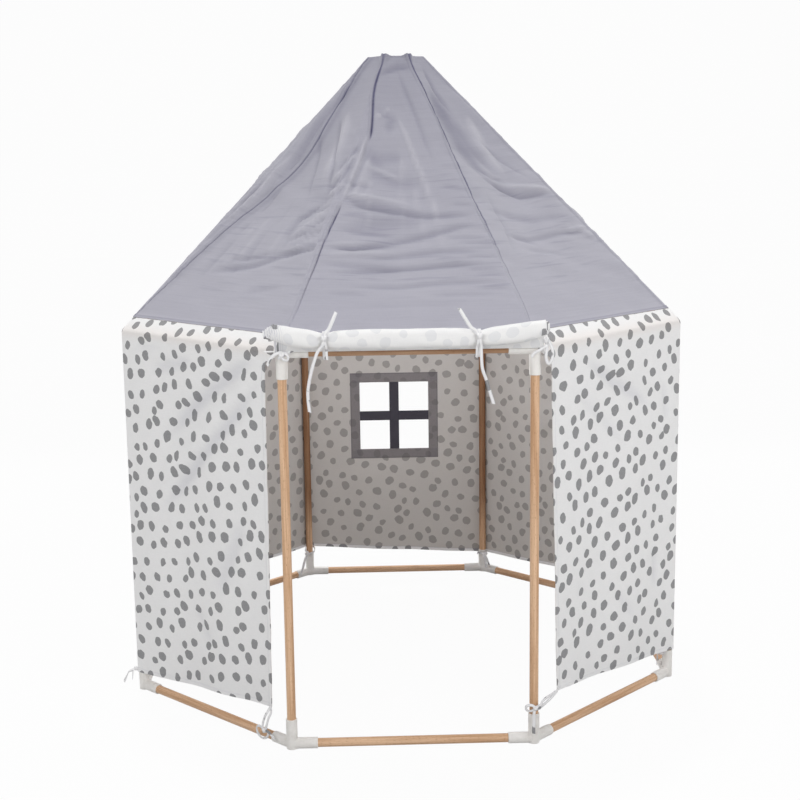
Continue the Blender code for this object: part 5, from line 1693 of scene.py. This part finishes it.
def roll_relief(across, angle):
    """How much a place on the roll's side lies inside its full outline, as a share of the radius."""
    held = pinch(across)
    bump = math.sin(3 * angle + 2 * math.pi * across / 0.157)
    loose = LOOSE_DEPTH * (0.5 - 0.5 * bump) * (1 - held)
    pleats = 0.0
    for place in TIE_PLACES:
        fade = math.exp(-abs(across - place) / PLEAT_REACH)
        pleats += fade * (0.5 + 0.5 * math.sin(PLEATS * angle + 4 * place + 22 * (across - place)))
    fold = 0.5 + 0.5 * math.sin(2 * angle - 2 * math.pi * across / LONG_FOLD_LENGTH + 1.3)
    return loose + PLEAT_DEPTH * pleats * (1 - 0.4 * held) + LONG_FOLD_DEPTH * fold ** 3


def roll_places():
    """The roll's columns from right to left: evenly spaced, and closer at the ties and at its left end."""
    places = set(np.linspace(ROLL_LEFT_END, ROLL_RIGHT_END, 58).round(5))
    for tie in TIE_PLACES:
        for step in (0, 0.0045, 0.008, 0.012, 0.018):
            places |= {round(tie + step, 5), round(tie - step, 5)}
    places |= {ROLL_RIGHT_END - step for step in (0.002, 0.005)}
    places = {place for place in places if place < ROLL_LEFT_END + 0.0005 or place > ROLL_LEFT_END + 0.0440}
    places |= {ROLL_LEFT_END + 0.0022 * (step + 1) for step in range(19)} | {ROLL_LEFT_END + 0.0500}
    return sorted(places, reverse=True)


def jogs(pick, most, fading, spread, rest):
    """How far each half turn of the winding ends inside the roll's end, from the outermost one inwards."""
    return [
        most * (1 - n / fading) + pick.uniform(*spread) if n < fading else pick.uniform(0, rest)
        for n in range(ROLL_TURNS * 2 + 3)
    ]


def make_roll(materials):
    """The rolled door as a real winding: eleven turns of cloth, the reverse side out."""
    bottom = sheet_low.z + DOOR_LIFT - ROLL_HEIGHT
    tail = [(0.0002, bottom), (0.0008, bottom + 0.0017), (0.0024, bottom + 0.0038), (0.0052, bottom + 0.0062)]
    places = roll_places()
    steps = ROLL_TURNS * TURN_STEPS
    rows = steps + 1 + len(tail)
    points = np.zeros((rows, len(places), 3))
    uv = np.zeros((rows, len(places), 2))
    seam = np.zeros((rows, len(places)))
    pick = random.Random("roll ends")
    ends = [
        jogs(pick, 0.024, 13, (-0.0015, 0.0030), 0.002),
        jogs(pick, 0.012, 8, (-0.001, 0.003), 0.004),
    ]
    wrinkle = waves("roll wrinkle", 14, 0.02, 0.09)
    end_wave = waves("roll end rings", 10, 0.02, 0.07)
    girth = 0.0
    for row in range(rows):
        step = max(0, row - len(tail))
        angle = ROLL_START + 2 * math.pi * step / TURN_STEPS
        share = 1 - (1 - ROLL_CORE) * step / steps
        girth += 2 * math.pi * MEAN_RADIUS * share / TURN_STEPS
        low, rest = divmod(2 * step, TURN_STEPS)
        mix = float(smooth_share(np.array(rest / TURN_STEPS)))
        left_jog, right_jog = (jog[low] + (jog[low + 1] - jog[low]) * mix for jog in ends)
        for column, across in enumerate(places):
            part = (across - ROLL_LEFT_END) / (ROLL_RIGHT_END - ROLL_LEFT_END)
            x = across + left_jog * max(0, 1 - part / 0.10) - right_jog * max(0, 1 - (1 - part) / 0.10)
            relief = roll_relief(across, angle)
            rings = end_rings(across - ROLL_LEFT_END, end_wave(angle * 0.02, 0.3))
            drawn = drawn_share(across) * (1 - relief) * (1 - rings)
            drawn *= 1 - 0.018 * (0.5 + 0.5 * float(wrinkle(across, angle * 0.02)))
            # Painted shade in the hollows of the end's rings and of the folds
            seam[row, column] = min(1, RING_SHADE * rings + FOLD_SHADE * max(0, relief - 0.02))
            y = ROLL_DISTANCE + ROLL_HALF_DEPTH * ROLL_INSET * drawn * share * math.cos(angle)
            z = ROLL_HEIGHT + ROLL_HALF_HEIGHT * ROLL_INSET * drawn * share * math.sin(angle)
            z += roll_lift(across) * (1 - LOOSE_END * (1 - share) * (across < TIE_PLACES[0]))
            if row < len(tail):
                forward, drop = tail[row]
                done = row / len(tail)
                y = (WALL_OUTSIDE + forward) * (1 - done) + y * done
                z = (ROLL_HEIGHT + drop) * (1 - done) + z * done
            points[row, column] = in_front(x, y, z)
            uv[row, column] = (x, -girth)
    spans = np.array(places)
    at_hem = (spans[1:] < ROLL_LEFT_END + LEFT_HEM) | (spans[:-1] > ROLL_RIGHT_END - RIGHT_HEM)
    hemmed = np.broadcast_to(at_hem, (rows - 1, len(places) - 1))
    roll = cloth_piece("door_roll_cloth", points, uv, ROLL_CLOTH, materials, seam=seam, hemmed=hemmed)
    declare(roll, "door_roll", "door_roll")
    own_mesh(roll)


# Ribbons


def smooth_path(points, count):
    """Evenly spaced points along a smooth curve through the given ones."""
    points = np.array([tuple(point) for point in points], float)
    ends = np.array([2 * points[0] - points[1], *points, 2 * points[-1] - points[-2]])
    dense = []
    for place in range(len(points) - 1):
        a, b, c, d = ends[place:place + 4]
        for t in np.arange(16) / 16:
            bend = (2 * a - 5 * b + 4 * c - d) * t * t + (3 * b - a - 3 * c + d) * t ** 3
            dense.append(0.5 * (2 * b + (c - a) * t + bend))
    dense = np.array([*dense, points[-1]])
    lengths = np.concatenate([[0], np.cumsum(np.linalg.norm(np.diff(dense, axis=0), axis=1))])
    wanted = np.linspace(0, lengths[-1], count)
    return np.stack([np.interp(wanted, lengths, dense[:, axis]) for axis in range(3)], 1), lengths[-1]


RIBBON_WIDTH, RIBBON_THICKNESS, RIBBON_STITCHES, RIBBON_STITCH_SHADE = 0.0082, 0.0009, 0.42, 0.55
RIBBON_COLUMNS = (-0.5, -RIBBON_STITCHES, -0.14, 0.14, RIBBON_STITCHES, 0.5)
FRONT = Vector((0, -1, 0))


def ribbon(name, path, facings, material, narrow, curl, shift, joint=None, end_cut=4.0, node=None):
    """A sewn ribbon along the path. facings are directions that its flat side faces, shared out along it.

    narrow is its width as a share of the usual one. curl is its hollow and end_cut its slanted end's
    length, in millimetres, and shift moves its print.
    """
    spine, length = smooth_path(path, max(14, 2 * len(path) + int(sum_length(path) / 0.004)))
    spots = len(spine)
    facings = np.array([tuple(Vector(facing).normalized()) for facing in facings], float)
    wanted = np.linspace(0, len(facings) - 1, spots)
    faces = np.stack([np.interp(wanted, range(len(facings)), facings[:, axis]) for axis in range(3)], 1)
    along = np.gradient(spine, axis=0)
    along /= np.linalg.norm(along, axis=1, keepdims=True)
    aside = np.cross(along, faces)
    aside /= np.maximum(np.linalg.norm(aside, axis=1, keepdims=True), 1e-9)
    faces = np.cross(aside, along)
    points = np.zeros((spots, len(RIBBON_COLUMNS), 3))
    uv = np.zeros((spots, len(RIBBON_COLUMNS), 2))
    seam = np.zeros((spots, len(RIBBON_COLUMNS)))
    width = RIBBON_WIDTH * narrow
    for column, share in enumerate(RIBBON_COLUMNS):
        points[:, column] = spine + aside * (width * share) + faces * (curl / 1000 * (1 - (2 * share) ** 2))
        uv[:, column, 0] = shift + width * share
        uv[:, column, 1] = shift * 0.7 + np.linspace(0, length, spots)
        seam[:, column] = RIBBON_STITCH_SHADE if abs(share) == RIBBON_STITCHES else 0
        points[-1, column] -= along[-1] * end_cut / 1000 * (share + 0.5)
    piece = cloth_piece(name, points, uv, RIBBON_THICKNESS, [material], seam=seam)
    declare(piece, node)
    if joint:
        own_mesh(piece)


def sum_length(path):
    return sum((Vector(b) - Vector(a)).length for a, b in zip(path, path[1:]))


# A door tie's tails in millimetres, from the roll's middle line at the tie: how far the upper one leans aside
# at each of its places and how high it ends, then the hanging one, first round the roll as (degrees, off it,
# aside), then free as (aside, forward, up). The key is 1 for the left tie and -1 for the right one. TIE_OFF
# is how far a ribbon lies off what it goes round, in metres.
TIE_OFF = 0.0012
TIE_TAILS = {
    1: (
        (4, 11, 20, 30), 36,
        ((-25, 4.5, -3), (-50, 6, -10), (-58, 10, -18)),
        ((-30, 15.5, -70), (-39, 8, -112), (-40, 5, -140), (-37, 4, -172)),
    ),
    -1: (
        (9, 19, 31, 46), 40,
        ((-25, 4.5, 2), (-50, 6, 4), (-58, 10, 4)),
        ((6, 15.5, -70), (16, 8, -100), (26, 5, -134), (34, 4, -160)),
    ),
}


def door_tie(side, across, lean, material):
    """The ribbon that holds the roll, with a knot in front, a tail up on the roof and one that hangs."""
    drawn = drawn_share(across)
    deep, high = ROLL_HALF_DEPTH * drawn + TIE_OFF, ROLL_HALF_HEIGHT * drawn + TIE_OFF

    def round_roll(degrees, extra=0.0, aside=0.0):
        angle = math.radians(degrees)
        distance = ROLL_DISTANCE + (deep + extra / 1000) * math.cos(angle)
        height = ROLL_HEIGHT + (high + extra / 1000) * math.sin(angle)
        return in_front(across + aside / 1000, distance, height)

    def free(aside, forward, up):
        return in_front(across + aside / 1000, ROLL_DISTANCE + forward / 1000, ROLL_HEIGHT + up / 1000)

    def tie(part, path, facings, *look, node=None):
        ribbon(f"door_tie_{side}_{part}", path, facings, material, *look, "door_unroll", node=node)

    seam_distance = WALL_DISTANCE - SEAM_ABOVE_EAVE * math.cos(GORE_PITCH)
    under, behind = EAVE_HEIGHT - ROD_RADIUS - 0.0031, SIDE_RADIUS - ROD_RADIUS - TIE_OFF
    strap = [in_front(across, seam_distance + 0.0045, SEAM_HEIGHT + 0.001)]
    strap += [round_roll(angle) for angle in range(105, -66, -17)]
    strap += [
        in_front(across, WALL_OUTSIDE + 0.0015, under), in_front(across, SIDE_RADIUS, under - 0.0006),
        in_front(across, behind, EAVE_HEIGHT - 0.004), in_front(across, behind, EAVE_HEIGHT + 0.006),
    ]
    angles = [math.radians(105 - 190 * place / (len(strap) - 1)) for place in range(len(strap))]
    facings = [(0, -math.cos(angle), math.sin(angle)) for angle in angles]
    facings[0] = (0, -math.sin(GORE_PITCH), math.cos(GORE_PITCH))
    facings[-2:] = [(0, 1, -0.2), (0, 1, 0)]
    tie("strap", strap, facings, 0.98, 0.2, 0.11 + across, node=f"door_tie_{side}")
    knot = round_roll(12, 4)
    asides, top, round_tail, free_tail = TIE_TAILS[lean]
    up_tail = [knot] + [
        round_roll(degrees, extra, aside * lean)
        for degrees, extra, aside in zip((46, 70, 76, 76), (5, 6.5, 10, 10), asides)
    ]
    up_tail[3] += Vector((0, 0.006, 0.014))
    up_tail[4] += Vector((0, 0.018, top / 1000))
    tie("up", up_tail, [(0.2 * lean, -1, 0.3), (0.3 * lean, -1, 0.6), (-0.5 * lean, -1, 0.5)],
        1.0, 1.8, 0.31 + across)
    hang = [knot, *(round_roll(*row) for row in round_tail), *(free(*row) for row in free_tail)]
    hang[3] -= Vector((0, 0, 0.008))
    tie("hang", hang, [(0.2, -1, 0.3), (-0.3 * lean, -1, 0.0), (0.25 * lean, -1, 0.1), FRONT],
        0.86, 1.4, 0.52 + across)
    second = [knot + Vector((0.001 * lean, 0.001, 0.002))]
    second += [round_roll(*row) for row in ((-20, 4, 3.5 * lean), (-44, 4.5, 4.5 * lean), (-62, 4, 5 * lean))]
    second += [free(6 * lean, 7, -40), free(7 * lean, 5, -48)]
    tie("loop", second, [(-0.3 * lean, -1, 0.2), (0.2 * lean, -1, -0.1), (0.5 * lean, -1, 0)],
        0.70, 1.2, 0.77 + across)
    knot_wraps(f"door_tie_{side}_knot", knot + Vector((0, 0.0005, 0)), 0.0066, lean, material, "door_unroll")


def knot_wraps(name, centre, radius, hand, material, joint=None):
    """A small knot: one ribbon wound twice about itself, first one way and then the other."""
    path, facings = [], []
    for step in range(19):
        angle = 2 * math.pi * step / 9 - math.pi / 2
        way = hand if step < 9 else -hand
        swell = 1.0 + 0.10 * (step % 9 > 4)
        local = Vector((
            0.375 * radius * math.sin(angle) * way + 0.0014 * way,
            -0.62 * radius * swell * math.cos(angle),
            0.92 * radius * math.sin(angle),
        ))
        path.append(centre + local)
        facings.append((0, -math.cos(angle), math.sin(angle)))
    ribbon(name, path, facings, material, 0.86, 0.8, 0.21 + 0.1 * hand, joint, end_cut=0.0)


def point(x, y, z):
    """A place given in millimetres."""
    return Vector((x / 1000, y / 1000, z / 1000))


def loose_ribbons(rows, material):
    for name, narrow, curl, shift, facings, spots in rows:
        ribbon(name, [point(*spot) for spot in spots], facings, material, narrow, curl, shift)


# Loose ribbons: name, width and curl, print's shift, the directions that they face and places in millimetres.
# These are tied round the front posts' tops and keep the walls' front edges in place.
BOWS = (
    ("bow_left_band", 0.85, 0.8, 0.05, ((0, -1, 0.3), (0, -1, 0.3), (-0.3, -1, 0.2)), (
        (-270, -721.5, 997.5), (-282, -725, 992.5), (-298.5, -726.2, 983.5), (-308, -722.2, 979),
    )),
    ("bow_left_tail", 0.80, 1.2, 0.35, (FRONT, (-0.2, -1, 0.3), (-0.3, -1, 0)), (
        (-286, -726.8, 990), (-299, -728.5, 993), (-312, -729, 990), (-324, -729, 980), (-333, -728, 961),
    )),
    ("bow_left_loop", 0.70, 1.0, 0.63, (FRONT, (0.5, -1, 0.4), (0.6, -1, 0), (0.2, -1, -0.4), FRONT), (
        (-299, -726.2, 985), (-290, -730, 990), (-283, -731.2, 984), (-285, -730, 975),
        (-293, -728.5, 976), (-299, -727, 983),
    )),
    ("bow_right_loop", 0.85, 1.2, 0.15, (
        FRONT, (0.3, -1, 0), (0.3, -1, 0), (0, -1, -0.3), (-0.4, -1, 0), FRONT,
    ), (
        (321, -725, 1017), (330, -728, 1008), (338.5, -728.5, 987), (337, -729, 966), (329, -728.5, 955.5),
        (323.2, -727, 970), (325, -725.5, 996), (323.5, -724.5, 1012),
    )),
    ("bow_right_band", 0.75, 1.0, 0.48, ((0.3, -1, 0.2), FRONT, (-0.2, -1, 0)), (
        (330, -724, 1002), (319, -727.8, 995), (306, -727, 987), (295, -724, 980), (287.8, -722.5, 970),
    )),
)


def make_bows(material):
    loose_ribbons(BOWS, material)
    knot_wraps("bow_right_knot", point(322.5, -728.5, 1011), 0.0062, 1, material)
    knot_wraps("bow_left_knot", point(-298.5, -728.5, 986), 0.0052, -1, material)


# The ribbons at the walls' base corners: where the knot lies, in metres outward, aside and up from the
# corner's base, and where each tail ends. TIE_RING is the radius at which a strand rounds the post.
TIE_RING = 0.0152
BASE_TIES = {
    "left_front": ((0.019, -0.006, 0.058), ((0.048, -0.040, 0.012), (0.030, -0.012, 0.026))),
    "left_back": ((0.019, 0.008, 0.066), ((0.028, 0.022, 0.022), (0.024, -0.018, 0.030))),
    "back_left": ((-0.020, 0.018, 0.078), ((-0.040, 0.040, 0.040), (-0.034, 0.046, 0.012))),
    "back_right": ((-0.020, -0.010, 0.064), ((-0.030, -0.034, 0.030), (-0.024, -0.022, 0.018))),
    "right_back": ((0.019, -0.008, 0.062), ((0.026, -0.024, 0.018), (0.028, 0.014, 0.028))),
    "right_front": ((-0.020, 0.006, 0.062), ((-0.032, 0.030, 0.024), (-0.026, -0.010, 0.030))),
}


def base_tie(name, material):
    """Two strands from the hem round the post, a knot, and two short tails."""
    corner = CORNERS.index(name)
    out = corner_direction(corner)
    aside = UP.cross(out)
    foot = node_at(corner, 0)

    def at(outward, across, height):
        return foot + outward * out + across * aside + height * UP

    place, tails = BASE_TIES[name]
    sign = 1 if place[0] > 0 else -1
    hem, knot_up = HEM_HEIGHTS[corner], place[2]
    knot = at(*place)
    for number, hand in enumerate((-1, 1)):
        path = [
            at(0.0105 if sign > 0 else 0.012, hand * 0.012, hem + 0.004),
            at(-0.006, hand * (TIE_RING + 0.001), hem - 0.003),
            at(0.004 * sign, hand * (TIE_RING + 0.0012), (hem + knot_up) / 2),
            at(0.013 * sign, hand * 0.010, knot_up + 0.004),
            knot,
        ]
        facings = [out, hand * aside, sign * out + hand * aside, sign * out]
        shift = 0.13 * corner + 0.4 * number
        ribbon(f"base_tie_{name}_strand_{number}", path, facings, material, 0.80, 0.8, shift)
    for number, tail in enumerate(tails):
        end = at(*tail)
        half = knot.lerp(end, 0.5) + Vector((0, 0, 0.010)) + sign * out * 0.004
        path = [knot, knot.lerp(half, 0.5) + sign * out * 0.003, half, half.lerp(end, 0.6), end]
        facings = [sign * out, sign * out + 0.5 * UP, sign * out + (0.6 - number) * aside]
        shift = 0.29 * corner + 0.7 * number
        ribbon(f"base_tie_{name}_tail_{number}", path, facings, material, 0.86, 1.2, shift)
    knot_wraps(f"base_tie_{name}_knot", knot, 0.0055, 1 if corner % 2 else -1, material)


LEFT_OUT, RIGHT_OUT = Vector((-1, -1, 0)).normalized(), Vector((0.7, -0.7, 0))
LEFT_BASE_TIE = (
    ("base_tie_front_left_loop", 0.75, 1.0, 0.4, (LEFT_OUT, LEFT_OUT + UP, LEFT_OUT - 0.4 * UP, LEFT_OUT), (
        (-371, -669, 33), (-382, -661, 41), (-390, -653, 35), (-388, -654, 20), (-376, -665, 11),
        (-364, -677, 18), (-361, -679, 29), (-369, -671, 34),
    )),
    ("base_tie_front_left_tail", 0.80, 1.2, 0.9, (LEFT_OUT, LEFT_OUT + 0.4 * UP, LEFT_OUT), (
        (-370, -671, 32), (-362, -680, 34), (-352, -690, 28), (-344, -697, 19),
    )),
)
RIGHT_BASE_TIE = (
    ("base_tie_front_right_loop", 0.78, 1.0, 0.6, (
        FRONT, (-0.3, -1, 0.4), (-0.6, -1, 0), (-0.2, -1, -0.4), FRONT,
    ), (
        (301, -725, 99), (291, -727, 105), (280, -724, 102), (280, -723, 92), (289, -725.5, 89),
        (300, -725, 95),
    )),
    ("base_tie_front_right_tail", 0.88, 1.4, 0.34, (FRONT, (0.2, -1, 0), (-0.2, -1, 0)), (
        (301, -725.5, 96), (298, -728, 86), (297.5, -728.5, 64), (297, -728, 44), (297.5, -727, 29),
    )),
)


def make_front_base_ties(material):
    """The free edges' hems are tied to the left front rail and to the right front post."""
    left_share = FREE_EDGE_SETBACK_LEFT_HEM / SIDE_CLOTH
    right_share = 1 - FREE_EDGE_SETBACK_RIGHT_HEM / SIDE_CLOTH
    left_hem = on_side(0, left_share, CLOTH_MIDDLE, hem_height(0, left_share) + 0.004)
    right_hem = on_side(6, right_share, CLOTH_MIDDLE, hem_height(6, right_share) + 0.004)
    for number, shift in enumerate((0, 10)):
        path = [
            left_hem + 0.0014 * LEFT_OUT, left_hem + point(-1 - shift, -4.5 + 0.3 * shift, -16),
            point(-358 - shift, -683 + 0.6 * shift, 70), point(-364 - shift, -679 + shift, 48),
            point(-370 - 0.4 * shift, -669, 33),
        ]
        facings = [LEFT_OUT, LEFT_OUT + 0.3 * UP, LEFT_OUT]
        name = f"base_tie_front_left_strand_{number}"
        ribbon(name, path, facings, material, 0.85, 1.2, 0.22 + 0.5 * number)
    loose_ribbons(LEFT_BASE_TIE, material)
    knot_wraps("base_tie_front_left_knot", point(-370, -671, 33), 0.0060, 1, material)
    for number, drop in enumerate((0, 12)):
        path = [
            right_hem + point(1, -1, -0.2 * drop),
            right_hem.lerp(point(324, -698, 105), 0.5) - point(0, 0, 0.8 * drop),
            point(324, -698, 105 - drop), point(315, -716.5, 101 - 0.6 * drop),
            point(303, -724.5, 98 - 0.3 * drop),
        ]
        facings = [RIGHT_OUT, RIGHT_OUT + 0.2 * UP, FRONT, FRONT]
        name = f"base_tie_front_right_strand_{number}"
        ribbon(name, path, facings, material, 0.85, 1.2, 0.61 + 0.4 * number)
    loose_ribbons(RIGHT_BASE_TIE, material)
    knot_wraps("base_tie_front_right_knot", point(301.5, -726.5, 96.5), 0.0060, -1, material)


# The whole tent


def main():
    make_camera()
    make_stage()
    wood, plastic, roof = wood_material(), plastic_material(), roof_material()
    outside = printed_material("dotted_cloth_outside", PRINT_WHITE, PRINT_GREY)
    tape = printed_material("dotted_cloth_ribbon", PRINT_WHITE, PRINT_GREY, sparse=True)
    # The inside's darker colour is painted shade
    inside = printed_material("dotted_cloth_inside_shaded", SHADED_INSIDE_CLOTH, SHADED_INSIDE_DOT)
    reverse = printed_material("dotted_cloth_reverse", REVERSE_CLOTH, REVERSE_DOT)
    hanging = printed_material("dotted_cloth_door", PRINT_WHITE, PRINT_GREY, in_space=True)
    shaded_hanging_inside = printed_material("dotted_cloth_door_inside_shaded", SHADED_INSIDE_CLOTH, SHADED_INSIDE_DOT, in_space=True)
    trim = trim_material("window_cloth_trim", TRIM_COLOUR, TRIM_DOT)
    bars = trim_material("window_cloth_bars", BAR_COLOUR, BAR_COLOUR, dots=False)
    make_connectors(plastic)
    make_hub(plastic)
    make_rods(wood)
    make_roof(roof)
    walls = [outside, inside]
    make_wing("left_wall_cloth", "wall_left", 0, 0, FREE_EDGE_SETBACK_LEFT_HEM, walls)
    make_wing("right_wall_cloth", "wall_right", 4, 1, FREE_EDGE_SETBACK_RIGHT_HEM, walls)
    make_back_wall(walls)
    make_window(trim, bars)
    make_header(walls)
    make_door_sheet([hanging, shaded_hanging_inside])
    make_roll([reverse, outside])
    door_tie("left", TIE_PLACES[0], 1, tape)
    door_tie("right", TIE_PLACES[1], -1, tape)
    make_bows(tape)
    make_front_base_ties(tape)
    for name in BASE_TIES:
        base_tie(name, tape)


main()
